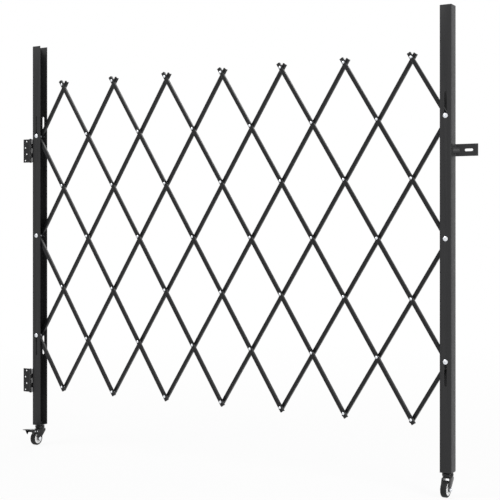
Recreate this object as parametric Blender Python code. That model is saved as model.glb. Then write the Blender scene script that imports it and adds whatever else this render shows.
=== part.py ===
"""Folding security gate.

Two upright channel posts carry a riveted lattice of crossed channel bars, seven diamonds wide and
three high. The left post hangs on two butt hinges and the right post has a slotted lock plate. A
swivel caster stands under each post, and the left one has a brake pedal.

X runs along the open gate from the hinge side to the lock side, Y runs from front to back and Z is
up. The origin is the middle of the back face of the top hinge's wall leaf. Lengths are in metres.
"""

import math

import bmesh
import bpy
from mathutils import Vector

# Overall sizes of the open gate
GATE_WIDTH = 1.6764
GATE_HEIGHT = 1.524
DIAMOND_HEIGHT = 0.381
DIAMONDS_WIDE = 7
DIAMONDS_HIGH = 3

# Clearances and the overrun of every cut
GAP = 0.0003
OVERRUN = 0.002

# Posts, open towards the lattice
POST_FACE = 0.0375
POST_DEPTH = 0.042
POST_WALL = 0.002
POST_BEND = 0.003
POST_BEND_STEPS = 2
BOLT_SETBACK = 0.019
SLOT_TRAVEL = 0.072
FOOT_PLATE_THICKNESS = 0.003

# Lattice bars, channels with the closed face to the front
BAR_FACE = 0.0127
BAR_DEPTH = 0.0105
BAR_WALL = 0.0015
BAR_SPACING = 0.007
BAR_TAIL = 0.016

# Lattice rivets
RIVET_RADIUS = 0.0026
RIVET_HOLE_RADIUS = 0.0032
RIVET_SPACER_RADIUS = 0.004
RIVET_HEAD_RADIUS = 0.0044
RIVET_CROWN_RADIUS = 0.0027
RIVET_HEAD_HEIGHT = 0.0018
RIVET_TAIL_RADIUS = 0.0038
RIVET_TAIL_HEIGHT = 0.0015
RIVET_SIDES = 8

# Bolts that tie the lattice to the posts
BOLT_RADIUS = 0.0037
BOLT_HOLE_RADIUS = 0.0042
BOLT_HEAD_RADIUS = 0.0076
BOLT_RIM_HEIGHT = 0.0008
BOLT_SHOULDER_RADIUS = 0.0058
BOLT_SHOULDER_HEIGHT = 0.0024
BOLT_CROWN_RADIUS = 0.003
BOLT_HEAD_HEIGHT = 0.0031
BOLT_END = 0.0015
BOLT_SLEEVE_RADIUS = 0.0052
BOLT_NUT_RADIUS = 0.0066
BOLT_NUT_HEIGHT = 0.005
BOLT_SIDES = 12
SLOT_END_STEPS = 6
HEX_SIDES = 6

# Butt hinges
HINGE_HEIGHT = 0.089
HINGE_LEAF_WIDTH = 0.038
HINGE_LEAF_THICKNESS = 0.002
HINGE_BARREL_RADIUS = 0.005
HINGE_BORE_RADIUS = 0.0031
HINGE_PIN_RADIUS = 0.0026
HINGE_PIN_HEAD_RADIUS = 0.0043
HINGE_PIN_HEAD_HEIGHT = 0.0018
HINGE_KNUCKLES = 5
HINGE_SIDES = 14
HINGE_HOLE_RADIUS = 0.0027
HINGE_HOLE_SIDES = 8
HINGE_HOLE_EDGES = (0.0145, 0.0085, 0.0145, 0.0085)
HINGE_HOLE_PITCH = 0.0243
TOP_HINGE_RISE = 0.325
BOTTOM_HINGE_DROP = 0.555

# Lock plate on the outer side of the right post
LOCK_RISE = 0.274
LOCK_HEIGHT = 0.038
LOCK_THICKNESS = 0.003
LOCK_REACH = 0.077
LOCK_FACE_SETBACK = 0.024
LOCK_FLANGE_SETBACK = 0.003
LOCK_BEND_RADIUS = 0.006
LOCK_BEND_STEPS = 3
LOCK_SLOT_LENGTH = 0.029
LOCK_SLOT_WIDTH = 0.010
LOCK_SLOT_END = 0.0145
LOCK_RIB_LEG = 0.015
LOCK_RIB_HALF_HEIGHT = 0.011
LOCK_RIB_SWEEP = 80
LOCK_RIB_STEPS = 6

# Casters
CASTER_DROP = 0.075
CASTER_TRAIL = 0.020
CASTER_SIDES = 18
STEM_RADIUS = 0.0048
STEM_HOLE_RADIUS = 0.0052
STEM_REACH = 0.016
STEM_NUT_RADIUS = 0.0092
STEM_NUT_HEIGHT = 0.008
HOUSING_GAP = 0.003
HOUSING_RADIUS = 0.018
HOUSING_HEIGHT = 0.0065
HOUSING_CHAMFER = 0.0015
KING_PIN_RADIUS = 0.0042
KING_PIN_HOLE_RADIUS = 0.0047
KING_PIN_HEAD_RADIUS = 0.007
KING_PIN_HEAD_HEIGHT = 0.0022
RACE_RADIUS = 0.0175
RACE_HEIGHT = 0.0045
FORK_SHEET = 0.0024
FORK_HALF_WIDTH = 0.0138
FORK_HALF_LENGTH = 0.017
FORK_CHEEK_RADIUS = 0.009
FORK_CHEEK_START = -50
FORK_CHEEK_END = -190
FORK_CHEEK_STEPS = 5
FORK_SHOULDER = 0.007
WHEEL_RADIUS = 0.026
TYRE_HALF_WIDTH = 0.009
TYRE_INNER_RADIUS = 0.0203
TYRE_SHOULDER = 0.002
TYRE_SIDES = 26
HUB_RADIUS = 0.020
HUB_RIM_HALF_WIDTH = 0.0084
HUB_RIM_RADIUS = 0.0172
HUB_WEB_HALF_WIDTH = 0.005
HUB_BOSS_RADIUS = 0.0078
HUB_BOSS_HALF_WIDTH = 0.0108
HUB_BORE_RADIUS = 0.0044
AXLE_RADIUS = 0.004
AXLE_HOLE_RADIUS = 0.0043
AXLE_HEAD_RADIUS = 0.0068
AXLE_HEAD_HEIGHT = 0.0035
AXLE_NUT_RADIUS = 0.0072
AXLE_NUT_HEIGHT = 0.0055
AXLE_END = 0.0015

# Brake pedal of the left caster
BRAKE_PIN_AHEAD = 0.027
BRAKE_PIN_HEIGHT = 0.054
BRAKE_PIN_RADIUS = 0.0018
BRAKE_PIN_HOLE_RADIUS = 0.0023
BRAKE_PIN_HEAD_RADIUS = 0.0034
BRAKE_PIN_HEAD_HEIGHT = 0.0012
BRAKE_PIN_SIDES = 8
EAR_FRONT = 0.033
EAR_BOTTOM = 0.046
EAR_TOP = 0.0575
PEDAL_SHEET = 0.0018
PEDAL_HALF_WIDTH = 0.0160
PEDAL_TIP_HALF_WIDTH = 0.0120
PEDAL_REACH = 0.061
PEDAL_TOP = 0.0070
PEDAL_BACK = 0.006
PEDAL_CHEEK_BOTTOM = 0.005
PEDAL_CHEEK_FRONT = 0.011
PEDAL_NECK = 0.020
PEDAL_TILT = math.radians(6.5)
SHOE_HALF_WIDTH = 0.008
SHOE_FRONT = 0.0095
SHOE_BACK = 0.0075
SHOE_DROP = 0.0035

# Places that follow from the sizes above
POST_LENGTH = GATE_HEIGHT - CASTER_DROP
MIDDLE_HEIGHT = CASTER_DROP + POST_LENGTH / 2
COLUMNS = 2 * DIAMONDS_WIDE
ROWS = 2 * DIAMONDS_HIGH
COLUMN_STEP = (GATE_WIDTH - 2 * BOLT_SETBACK) / COLUMNS
ROW_STEP = DIAMOND_HEIGHT / 2
POST_FRONT = -POST_DEPTH / 2
POST_BACK = POST_DEPTH / 2
FRONT_BAR_FACE = -BAR_SPACING / 2 - BAR_DEPTH
BACK_BAR_FACE = BAR_SPACING / 2
FORK_TOP = CASTER_DROP - HOUSING_GAP - HOUSING_HEIGHT - GAP - RACE_HEIGHT
FORK_UNDERSIDE = FORK_TOP - FORK_SHEET

# Lattice joint that each bar turns on, counted in columns and rows from the bottom left
FRONT_PIVOTS = ((0, 1), (0, 3), (1, 4), (2, 5), (3, 6), (7, 4), (8, 5), (9, 6), (13, 4), (14, 5))
BACK_PIVOTS = ((0, 5), (0, 3), (1, 2), (2, 1), (3, 0), (7, 2), (8, 1), (9, 0), (13, 2), (14, 1))


def clear_scene():
    for obj in list(bpy.data.objects):
        bpy.data.objects.remove(obj, do_unlink=True)


def make_material(name, colour, roughness, metallic):
    material = bpy.data.materials.new(name)
    material.use_nodes = True
    shader = material.node_tree.nodes["Principled BSDF"]
    shader.inputs["Base Color"].default_value = (*colour, 1.0)
    shader.inputs["Roughness"].default_value = roughness
    shader.inputs["Metallic"].default_value = metallic
    return material


def joint_place(column, row):
    """Place of a lattice joint in the middle plane of the gate."""
    x = (column - COLUMNS / 2) * COLUMN_STEP
    z = MIDDLE_HEIGHT + (row - ROWS / 2) * ROW_STEP
    return Vector((x, 0, z))


# Mesh pieces. Each call adds one closed shape to the mesh that is being built.
def add_shell(mesh, rings, closed):
    """Skins a row of equal rings of points. The ends are capped, or joined when closed."""
    rows = [[mesh.verts.new(point) for point in ring] for ring in rings]
    count = len(rows[0])
    pairs = list(zip(rows, rows[1:]))
    if closed:
        pairs.append((rows[-1], rows[0]))
    for first, second in pairs:
        for i in range(count):
            j = (i + 1) % count
            mesh.faces.new((first[i], first[j], second[j], second[i]))
    if not closed:
        mesh.faces.new(list(reversed(rows[0])))
        mesh.faces.new(rows[-1])


def turned(radius, height, sides, axis):
    """Ring of points round an axis, at a height along it."""
    ring = []
    for i in range(sides):
        angle = 2 * math.pi * (i + 0.5) / sides
        across = radius * math.cos(angle)
        along = radius * math.sin(angle)
        point = {"X": (height, across, along), "Y": (along, height, across), "Z": (across, along, height)}
        ring.append(Vector(point[axis]))
    return ring


def add_turned(mesh, profile, centre, sides, axis, hollow=False):
    """Revolves a profile of radius and height pairs round an axis through the centre."""
    rings = []
    for radius, height in profile:
        rings.append([centre + point for point in turned(radius, height, sides, axis)])
    add_shell(mesh, rings, hollow)


def add_prism(mesh, outline, axis, low, high):
    """Extrudes an outline along an axis. The outline is in the other two axes, in XYZ order."""
    rings = []
    for height in (low, high):
        ring = []
        for first, second in outline:
            points = {
                "X": (height, first, second),
                "Y": (first, height, second),
                "Z": (first, second, height),
            }
            ring.append(Vector(points[axis]))
        rings.append(ring)
    add_shell(mesh, rings, False)


def arc(centre, radius, start, end, steps):
    """Points on an arc from a start angle to an end angle in degrees."""
    points = []
    for i in range(steps + 1):
        angle = math.radians(start + (end - start) * i / steps)
        points.append((centre[0] + radius * math.cos(angle), centre[1] + radius * math.sin(angle)))
    return points


def rectangle(low_first, high_first, low_second, high_second):
    return (
        (low_first, low_second),
        (high_first, low_second),
        (high_first, high_second),
        (low_first, high_second),
    )


def slot_outline(centre, radius, first_reach, second_reach):
    """Rounded slot whose end centres lie at the reach on each side of the centre."""
    low = (centre[0] - first_reach, centre[1] - second_reach)
    high = (centre[0] + first_reach, centre[1] + second_reach)
    turn = math.degrees(math.atan2(second_reach, first_reach))
    outline = arc(high, radius, turn - 90, turn + 90, SLOT_END_STEPS)
    return outline + arc(low, radius, turn + 90, turn + 270, SLOT_END_STEPS)


def make_object(name, mesh, origin, material):
    """Turns the mesh into an object. Its points are measured from the origin already."""
    bmesh.ops.recalc_face_normals(mesh, faces=mesh.faces)
    data = bpy.data.meshes.new(name)
    mesh.to_mesh(data)
    mesh.free()
    obj = bpy.data.objects.new(name, data)
    obj.location = origin
    bpy.context.scene.collection.objects.link(obj)
    if material is not None:
        data.materials.append(material)
    return obj


def combine(obj, operation, mesh):
    """Joins a helper shape to an object, cuts it away or keeps what both share."""
    helper = make_object(obj.name + "_" + operation.lower(), mesh, obj.location, None)
    helper.rotation_euler = obj.rotation_euler
    helper.hide_render = True
    helper.display_type = "WIRE"
    modifier = obj.modifiers.new(operation.title(), "BOOLEAN")
    modifier.operation = operation
    modifier.solver = "EXACT"
    modifier.object = helper


def smooth(obj):
    """Shades the round faces smooth and keeps the hard edges sharp."""
    obj.data.shade_smooth()
    obj.data.set_sharp_from_angle(angle=math.radians(40))


def move_to_wall_leaf():
    """Shifts the gate, which is laid out from the floor and its own middle, onto its origin."""
    pin = hinge_pin_place(MIDDLE_HEIGHT + TOP_HINGE_RISE)
    leaf_middle = (HINGE_LEAF_WIDTH + HINGE_BARREL_RADIUS + GAP) / 2
    origin = pin + Vector((-leaf_middle, HINGE_BARREL_RADIUS, 0))
    for obj in bpy.data.objects:
        obj.location -= origin


# Lattice
def bar_runs():
    """Start joint and number of steps of each front bar and each back bar, from left to right."""
    front = [(0, row) for row in range(1, ROWS, 2)]
    front += [(column, ROWS) for column in range(1, COLUMNS, 2)]
    back = [(0, row) for row in range(ROWS - 1, 0, -2)]
    back += [(column, 0) for column in range(1, COLUMNS, 2)]
    front_runs = [(start, min(COLUMNS - start[0], start[1])) for start in front]
    back_runs = [(start, min(COLUMNS - start[0], ROWS - start[1])) for start in back]
    return front_runs, back_runs


def add_channel(mesh, start, end, face, origin):
    """Channel from joint to joint with its closed side at the face, running past both ends."""
    along = (end - start).normalized()
    across = Vector((along.z, 0, -along.x))
    half = BAR_FACE / 2
    inner = half - BAR_WALL
    section = (
        (-half, 0),
        (half, 0),
        (half, BAR_DEPTH),
        (inner, BAR_DEPTH),
        (inner, BAR_WALL),
        (-inner, BAR_WALL),
        (-inner, BAR_DEPTH),
        (-half, BAR_DEPTH),
    )
    rings = []
    for place in (start - along * BAR_TAIL, end + along * BAR_TAIL):
        centre = place - origin
        rings.append([centre + across * side + Vector((0, face + depth, 0)) for side, depth in section])
    add_shell(mesh, rings, False)


def rivet_profile():
    """Rivet from the crown of its head, through the front bar, to the tail inside the back bar."""
    tail_start = BACK_BAR_FACE + BAR_WALL + GAP
    return (
        (RIVET_CROWN_RADIUS, FRONT_BAR_FACE - RIVET_HEAD_HEIGHT),
        (RIVET_HEAD_RADIUS, FRONT_BAR_FACE),
        (RIVET_SPACER_RADIUS, FRONT_BAR_FACE),
        (RIVET_SPACER_RADIUS, BACK_BAR_FACE - GAP),
        (RIVET_RADIUS, BACK_BAR_FACE - GAP),
        (RIVET_RADIUS, tail_start),
        (RIVET_TAIL_RADIUS, tail_start),
        (RIVET_TAIL_RADIUS, tail_start + RIVET_TAIL_HEIGHT),
    )


def make_bar(name, run, rise, pivot, front, material):
    """One lattice bar. A front bar carries its rivets and a back bar is drilled for them."""
    start, steps = run
    joints = [(start[0] + step, start[1] + rise * step) for step in range(steps + 1)]
    origin = joint_place(*pivot)
    face = FRONT_BAR_FACE if front else BACK_BAR_FACE
    channel = bmesh.new()
    add_channel(channel, joint_place(*joints[0]), joint_place(*joints[-1]), face, origin)
    bar = make_object(name, channel, origin, material)
    added = bmesh.new()
    holes = bmesh.new()
    sleeve_front = POST_FRONT + POST_WALL + GAP if front else BACK_BAR_FACE
    sleeve_back = BACK_BAR_FACE - GAP if front else POST_BACK - POST_WALL - GAP
    sleeve = ((BOLT_SLEEVE_RADIUS, sleeve_front), (BOLT_SLEEVE_RADIUS, sleeve_back))
    bolt_hole = ((BOLT_HOLE_RADIUS, POST_FRONT), (BOLT_HOLE_RADIUS, POST_BACK))
    hole_end = BACK_BAR_FACE + BAR_WALL + OVERRUN
    rivet_hole = ((RIVET_HOLE_RADIUS, BACK_BAR_FACE - OVERRUN), (RIVET_HOLE_RADIUS, hole_end))
    for joint in joints:
        place = joint_place(*joint) - origin
        if joint[0] in (0, COLUMNS):
            add_turned(added, sleeve, place, BOLT_SIDES, "Y")
            add_turned(holes, bolt_hole, place, BOLT_SIDES, "Y")
        elif front:
            add_turned(added, rivet_profile(), place, RIVET_SIDES, "Y")
        else:
            add_turned(holes, rivet_hole, place, RIVET_SIDES, "Y")
    if added.verts:
        combine(bar, "UNION", added)
    if holes.verts:
        combine(bar, "DIFFERENCE", holes)


def make_lattice(material):
    front_runs, back_runs = bar_runs()
    for number, (run, pivot) in enumerate(zip(front_runs, FRONT_PIVOTS), 1):
        make_bar(f"front_bar_{number:02d}", run, -1, pivot, True, material)
    for number, (run, pivot) in enumerate(zip(back_runs, BACK_PIVOTS), 1):
        make_bar(f"back_bar_{number:02d}", run, 1, pivot, False, material)


# Posts and their bolts
def post_outline(side):
    """Section of a post measured from its bolt axis. The web is on the given side."""
    web = BOLT_SETBACK
    lip = BOLT_SETBACK - POST_FACE
    inner_bend = POST_BEND - POST_WALL
    outer = (web - POST_BEND, POST_BACK - POST_BEND)
    outline = [(lip, POST_FRONT)]
    outline += arc((outer[0], -outer[1]), POST_BEND, -90, 0, POST_BEND_STEPS)
    outline += arc(outer, POST_BEND, 0, 90, POST_BEND_STEPS)
    outline += [(lip, POST_BACK), (lip, POST_BACK - POST_WALL)]
    outline += arc(outer, inner_bend, 90, 0, POST_BEND_STEPS)
    outline += arc((outer[0], -outer[1]), inner_bend, 0, -90, POST_BEND_STEPS)
    outline += [(lip, POST_FRONT + POST_WALL)]
    return [(x * side, y) for x, y in outline]


def make_post(name, column, side, origin, material):
    bolt_axis = joint_place(column, DIAMONDS_HIGH)
    outline = [(x + bolt_axis.x - origin.x, y - origin.y) for x, y in post_outline(side)]
    mesh = bmesh.new()
    bottom = CASTER_DROP - origin.z
    add_prism(mesh, outline, "Z", bottom, bottom + POST_LENGTH)
    post = make_object(name, mesh, origin, material)
    cuts = bmesh.new()
    x = bolt_axis.x - origin.x
    middle = MIDDLE_HEIGHT - origin.z
    slot_centre = DIAMOND_HEIGHT + SLOT_TRAVEL / 2
    ends = (POST_FRONT - OVERRUN - origin.y, POST_BACK + OVERRUN - origin.y)
    hole = ((BOLT_HOLE_RADIUS, ends[0]), (BOLT_HOLE_RADIUS, ends[1]))
    add_turned(cuts, hole, Vector((x, 0, middle)), BOLT_SIDES, "Y")
    for z in (middle + slot_centre, middle - slot_centre):
        outline = slot_outline((x, z), BOLT_HOLE_RADIUS, 0, SLOT_TRAVEL / 2)
        add_prism(cuts, outline, "Y", *ends)
    combine(post, "DIFFERENCE", cuts)


def make_foot_plate(name, column, side, material):
    """Plate inside the bottom end of a post, drilled for the caster stem."""
    bolt_axis = joint_place(column, DIAMONDS_HIGH)
    lip = bolt_axis.x + side * (BOLT_SETBACK - POST_FACE)
    web = bolt_axis.x + side * (BOLT_SETBACK - POST_WALL - GAP)
    half = POST_DEPTH / 2 - POST_WALL - GAP
    corner = POST_BEND
    origin = Vector((caster_x(side), 0, CASTER_DROP))
    outline = [(lip, -half), (web - side * corner, -half), (web, corner - half)]
    outline += [(web, half - corner), (web - side * corner, half), (lip, half)]
    mesh = bmesh.new()
    add_prism(mesh, [(x - origin.x, y) for x, y in outline], "Z", 0, FOOT_PLATE_THICKNESS)
    plate = make_object(name, mesh, origin, material)
    hole = bmesh.new()
    profile = ((STEM_HOLE_RADIUS, -OVERRUN), (STEM_HOLE_RADIUS, FOOT_PLATE_THICKNESS + OVERRUN))
    add_turned(hole, profile, Vector(), BOLT_SIDES, "Z")
    combine(plate, "DIFFERENCE", hole)


def make_bolt(name, column, row, bolt_material, nut_material):
    origin = joint_place(column, row)
    head = POST_FRONT - GAP
    nut = POST_BACK + GAP
    mesh = bmesh.new()
    profile = (
        (BOLT_CROWN_RADIUS, head - BOLT_HEAD_HEIGHT),
        (BOLT_SHOULDER_RADIUS, head - BOLT_SHOULDER_HEIGHT),
        (BOLT_HEAD_RADIUS, head - BOLT_RIM_HEIGHT),
        (BOLT_HEAD_RADIUS, head),
        (BOLT_RADIUS, head),
        (BOLT_RADIUS, nut + BOLT_NUT_HEIGHT + BOLT_END),
    )
    add_turned(mesh, profile, Vector(), BOLT_SIDES, "Y")
    smooth(make_object("bolt_" + name, mesh, origin, bolt_material))
    mesh = bmesh.new()
    make_nut_mesh(mesh, BOLT_NUT_RADIUS, BOLT_RADIUS + GAP, nut, nut + BOLT_NUT_HEIGHT, "Y")
    make_object("nut_" + name, mesh, origin, nut_material)


def make_nut_mesh(mesh, radius, bore, low, high, axis):
    """Hexagonal nut with a six-sided bore that clears the thread."""
    bore_corner = bore / math.cos(math.pi / HEX_SIDES)
    profile = ((radius, low), (radius, high), (bore_corner, high), (bore_corner, low))
    add_turned(mesh, profile, Vector(), HEX_SIDES, axis, hollow=True)


# Hinges
def hinge_pin_place(height):
    """Pin axis, just ahead of the front corner of the left post."""
    x = joint_place(0, 0).x - BOLT_SETBACK - GAP - HINGE_BARREL_RADIUS
    y = POST_FRONT - HINGE_BARREL_RADIUS + GAP
    return Vector((x, y, height))


def knuckle_ends(number):
    """Bottom and top of a knuckle, measured from the middle of the hinge."""
    pitch = HINGE_HEIGHT / HINGE_KNUCKLES
    bottom = pitch * number - HINGE_HEIGHT / 2
    top = bottom + pitch
    if number > 0:
        bottom += GAP / 2
    if number + 1 < HINGE_KNUCKLES:
        top -= GAP / 2
    return bottom, top


def knuckle_outline():
    """Section of a knuckle, with the strip that joins it to its leaf."""
    root = -HINGE_BARREL_RADIUS - GAP - OVERRUN
    back = HINGE_BARREL_RADIUS
    front = back - HINGE_LEAF_THICKNESS
    strip_meets = 180 - math.degrees(math.asin(front / back))
    curl = arc((0, 0), HINGE_BARREL_RADIUS, 90, strip_meets - 360, HINGE_SIDES)
    return [(root, back)] + curl + [(root, front)]


def make_hinge_leaf(name, height, turn, first_knuckle, material):
    """Leaf that reaches along -X from the pin, with its back face on the +Y side, then turned."""
    half = HINGE_HEIGHT / 2
    root = -HINGE_BARREL_RADIUS - GAP
    back = HINGE_BARREL_RADIUS
    front = back - HINGE_LEAF_THICKNESS
    mesh = bmesh.new()
    add_prism(mesh, rectangle(-HINGE_LEAF_WIDTH, root, -half, half), "Y", front, back)
    leaf = make_object(name, mesh, hinge_pin_place(height), material)
    leaf.rotation_euler = (0, 0, turn)
    knuckles = bmesh.new()
    for number in range(first_knuckle, HINGE_KNUCKLES, 2):
        add_prism(knuckles, knuckle_outline(), "Z", *knuckle_ends(number))
    combine(leaf, "UNION", knuckles)
    holes = bmesh.new()
    profile = ((HINGE_BORE_RADIUS, -half - OVERRUN), (HINGE_BORE_RADIUS, half + OVERRUN))
    add_turned(holes, profile, Vector(), HINGE_SIDES, "Z")
    first = (len(HINGE_HOLE_EDGES) - 1) / 2
    drill = ((HINGE_HOLE_RADIUS, front - OVERRUN), (HINGE_HOLE_RADIUS, back + OVERRUN))
    for number, edge in enumerate(HINGE_HOLE_EDGES):
        place = Vector((edge - HINGE_LEAF_WIDTH, 0, (first - number) * HINGE_HOLE_PITCH))
        add_turned(holes, drill, place, HINGE_HOLE_SIDES, "Y")
    combine(leaf, "DIFFERENCE", holes)


def make_hinge(name, height, leaf_material, pin_material):
    make_hinge_leaf(name + "_wall_leaf", height, 0, 0, leaf_material)
    make_hinge_leaf(name + "_post_leaf", height, -math.pi / 2, 1, leaf_material)
    end = HINGE_HEIGHT / 2 + GAP
    profile = (
        (HINGE_PIN_RADIUS, -end - HINGE_PIN_HEAD_HEIGHT),
        (HINGE_PIN_HEAD_RADIUS, -end - HINGE_PIN_HEAD_HEIGHT / 2),
        (HINGE_PIN_HEAD_RADIUS, -end),
        (HINGE_PIN_RADIUS, -end),
        (HINGE_PIN_RADIUS, end),
        (HINGE_PIN_HEAD_RADIUS, end),
        (HINGE_PIN_HEAD_RADIUS, end + HINGE_PIN_HEAD_HEIGHT / 2),
        (HINGE_PIN_RADIUS, end + HINGE_PIN_HEAD_HEIGHT),
    )
    mesh = bmesh.new()
    add_turned(mesh, profile, Vector(), HINGE_HOLE_SIDES, "Z")
    smooth(make_object(name + "_pin", mesh, hinge_pin_place(height), pin_material))


# Lock plate
def make_lock_plate(material):
    """Bent plate: one flange flat on the side of the right post, the slotted one reaching out."""
    height = MIDDLE_HEIGHT + LOCK_RISE
    origin = Vector((GATE_WIDTH / 2, POST_FRONT, height))
    near = GAP
    far = GAP + LOCK_THICKNESS
    bend = (far + LOCK_BEND_RADIUS, LOCK_FACE_SETBACK - LOCK_BEND_RADIUS)
    outline = [(near, LOCK_FLANGE_SETBACK), (far, LOCK_FLANGE_SETBACK)]
    outline += arc(bend, LOCK_BEND_RADIUS, 180, 90, LOCK_BEND_STEPS)
    outline += [(LOCK_REACH, LOCK_FACE_SETBACK), (LOCK_REACH, LOCK_FACE_SETBACK + LOCK_THICKNESS)]
    outline += arc(bend, LOCK_BEND_RADIUS + LOCK_THICKNESS, 90, 180, LOCK_BEND_STEPS)
    mesh = bmesh.new()
    add_prism(mesh, outline, "Z", -LOCK_HEIGHT / 2, LOCK_HEIGHT / 2)
    plate = make_object("lock_plate", mesh, origin, material)
    rib = bmesh.new()
    rings = []
    inset = LOCK_THICKNESS / 3
    for step in range(LOCK_RIB_STEPS + 1):
        angle = math.radians(LOCK_RIB_SWEEP * (2 * step / LOCK_RIB_STEPS - 1))
        z = LOCK_RIB_HALF_HEIGHT * math.sin(angle)
        leg = LOCK_RIB_LEG * math.cos(angle) + inset
        corner = (far - inset, LOCK_FACE_SETBACK + inset)
        points = ((corner[0], corner[1]), (corner[0] + leg, corner[1]), (corner[0], corner[1] - leg))
        rings.append([Vector((x, y, z)) for x, y in points])
    add_shell(rib, rings, False)
    combine(plate, "UNION", rib)
    slot = bmesh.new()
    radius = LOCK_SLOT_WIDTH / 2
    centre = (LOCK_REACH - LOCK_SLOT_END - LOCK_SLOT_LENGTH / 2, 0)
    outline = slot_outline(centre, radius, LOCK_SLOT_LENGTH / 2 - radius, 0)
    back = LOCK_FACE_SETBACK + LOCK_THICKNESS
    add_prism(slot, outline, "Y", LOCK_FACE_SETBACK - OVERRUN, back + OVERRUN)
    combine(plate, "DIFFERENCE", slot)


# Casters
def caster_x(side):
    """The stem stands in the middle of the post section."""
    return side * (GATE_WIDTH / 2 - POST_FACE / 2)


def make_caster_top(name, x, sheet, steel):
    """Housing with the stem above it and the king pin below, and the nut on the stem."""
    origin = Vector((x, 0, CASTER_DROP))
    top = -HOUSING_GAP
    bottom = top - HOUSING_HEIGHT
    pin_end = FORK_UNDERSIDE - CASTER_DROP - GAP
    profile = (
        (STEM_RADIUS, STEM_REACH),
        (STEM_RADIUS, top),
        (HOUSING_RADIUS - HOUSING_CHAMFER, top),
        (HOUSING_RADIUS, top - HOUSING_CHAMFER),
        (HOUSING_RADIUS, bottom),
        (KING_PIN_RADIUS, bottom),
        (KING_PIN_RADIUS, pin_end),
        (KING_PIN_HEAD_RADIUS, pin_end),
        (KING_PIN_HEAD_RADIUS, pin_end - KING_PIN_HEAD_HEIGHT),
    )
    mesh = bmesh.new()
    add_turned(mesh, profile, Vector(), CASTER_SIDES, "Z")
    smooth(make_object(name + "_housing", mesh, origin, sheet))
    low = FOOT_PLATE_THICKNESS + GAP
    mesh = bmesh.new()
    make_nut_mesh(mesh, STEM_NUT_RADIUS, STEM_RADIUS + GAP, low, low + STEM_NUT_HEIGHT, "Z")
    make_object(name + "_stem_nut", mesh, origin, steel)


def fork_outline(braked):
    """Side view of the fork, measured from the king pin axis and the floor."""
    length = FORK_HALF_LENGTH
    outline = [(-length, FORK_TOP), (length, FORK_TOP), (length, FORK_UNDERSIDE - FORK_SHOULDER)]
    axle = (-CASTER_TRAIL, WHEEL_RADIUS)
    outline += arc(axle, FORK_CHEEK_RADIUS, FORK_CHEEK_START, FORK_CHEEK_END, FORK_CHEEK_STEPS)
    if braked:
        outline += [(-EAR_FRONT, EAR_BOTTOM), (-EAR_FRONT, EAR_TOP), (-length, EAR_TOP)]
    return outline


def make_fork(name, x, braked, steel):
    origin = Vector((x, 0, 0))
    outer = FORK_HALF_WIDTH
    inner = FORK_HALF_WIDTH - FORK_SHEET
    section = (
        (-outer, 0),
        (-outer, FORK_TOP),
        (outer, FORK_TOP),
        (outer, 0),
        (inner, 0),
        (inner, FORK_UNDERSIDE),
        (-inner, FORK_UNDERSIDE),
        (-inner, 0),
    )
    mesh = bmesh.new()
    add_prism(mesh, section, "Y", -EAR_FRONT - OVERRUN, FORK_HALF_LENGTH + OVERRUN)
    fork = make_object(name + "_fork", mesh, origin, steel)
    shape = bmesh.new()
    add_prism(shape, fork_outline(braked), "X", -outer - OVERRUN, outer + OVERRUN)
    combine(fork, "INTERSECT", shape)
    race = bmesh.new()
    profile = ((RACE_RADIUS, FORK_TOP - FORK_SHEET / 2), (RACE_RADIUS, FORK_TOP + RACE_HEIGHT))
    add_turned(race, profile, Vector(), CASTER_SIDES, "Z")
    combine(fork, "UNION", race)
    holes = bmesh.new()
    profile = ((KING_PIN_HOLE_RADIUS, FORK_UNDERSIDE - OVERRUN), (KING_PIN_HOLE_RADIUS, CASTER_DROP))
    add_turned(holes, profile, Vector(), BOLT_SIDES, "Z")
    ends = (-outer - OVERRUN, outer + OVERRUN)
    profile = ((AXLE_HOLE_RADIUS, ends[0]), (AXLE_HOLE_RADIUS, ends[1]))
    add_turned(holes, profile, Vector((0, -CASTER_TRAIL, WHEEL_RADIUS)), BOLT_SIDES, "X")
    if braked:
        profile = ((BRAKE_PIN_HOLE_RADIUS, ends[0]), (BRAKE_PIN_HOLE_RADIUS, ends[1]))
        place = Vector((0, -BRAKE_PIN_AHEAD, BRAKE_PIN_HEIGHT))
        add_turned(holes, profile, place, BRAKE_PIN_SIDES, "X")
    combine(fork, "DIFFERENCE", holes)


def make_wheel(name, x, rubber, plastic):
    origin = Vector((x, -CASTER_TRAIL, WHEEL_RADIUS))
    half = TYRE_HALF_WIDTH
    tyre_half = (
        (TYRE_INNER_RADIUS, HUB_RIM_HALF_WIDTH),
        (WHEEL_RADIUS - 2 * TYRE_SHOULDER, half),
        (WHEEL_RADIUS - TYRE_SHOULDER / 2, half - TYRE_SHOULDER),
        (WHEEL_RADIUS, half - 2 * TYRE_SHOULDER),
    )
    profile = list(tyre_half) + [(radius, -height) for radius, height in reversed(tyre_half)]
    mesh = bmesh.new()
    add_turned(mesh, profile, Vector(), TYRE_SIDES, "X", hollow=True)
    smooth(make_object(name + "_tyre", mesh, origin, rubber))
    hub_half = (
        (HUB_BORE_RADIUS, HUB_BOSS_HALF_WIDTH),
        (HUB_BOSS_RADIUS, HUB_BOSS_HALF_WIDTH),
        (HUB_BOSS_RADIUS, HUB_WEB_HALF_WIDTH),
        (HUB_RIM_RADIUS, HUB_WEB_HALF_WIDTH),
        (HUB_RIM_RADIUS, HUB_RIM_HALF_WIDTH),
        (HUB_RADIUS, HUB_RIM_HALF_WIDTH),
    )
    profile = list(hub_half) + [(radius, -height) for radius, height in reversed(hub_half)]
    mesh = bmesh.new()
    add_turned(mesh, profile, Vector(), CASTER_SIDES, "X", hollow=True)
    smooth(make_object(name + "_hub", mesh, origin, plastic))


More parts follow.
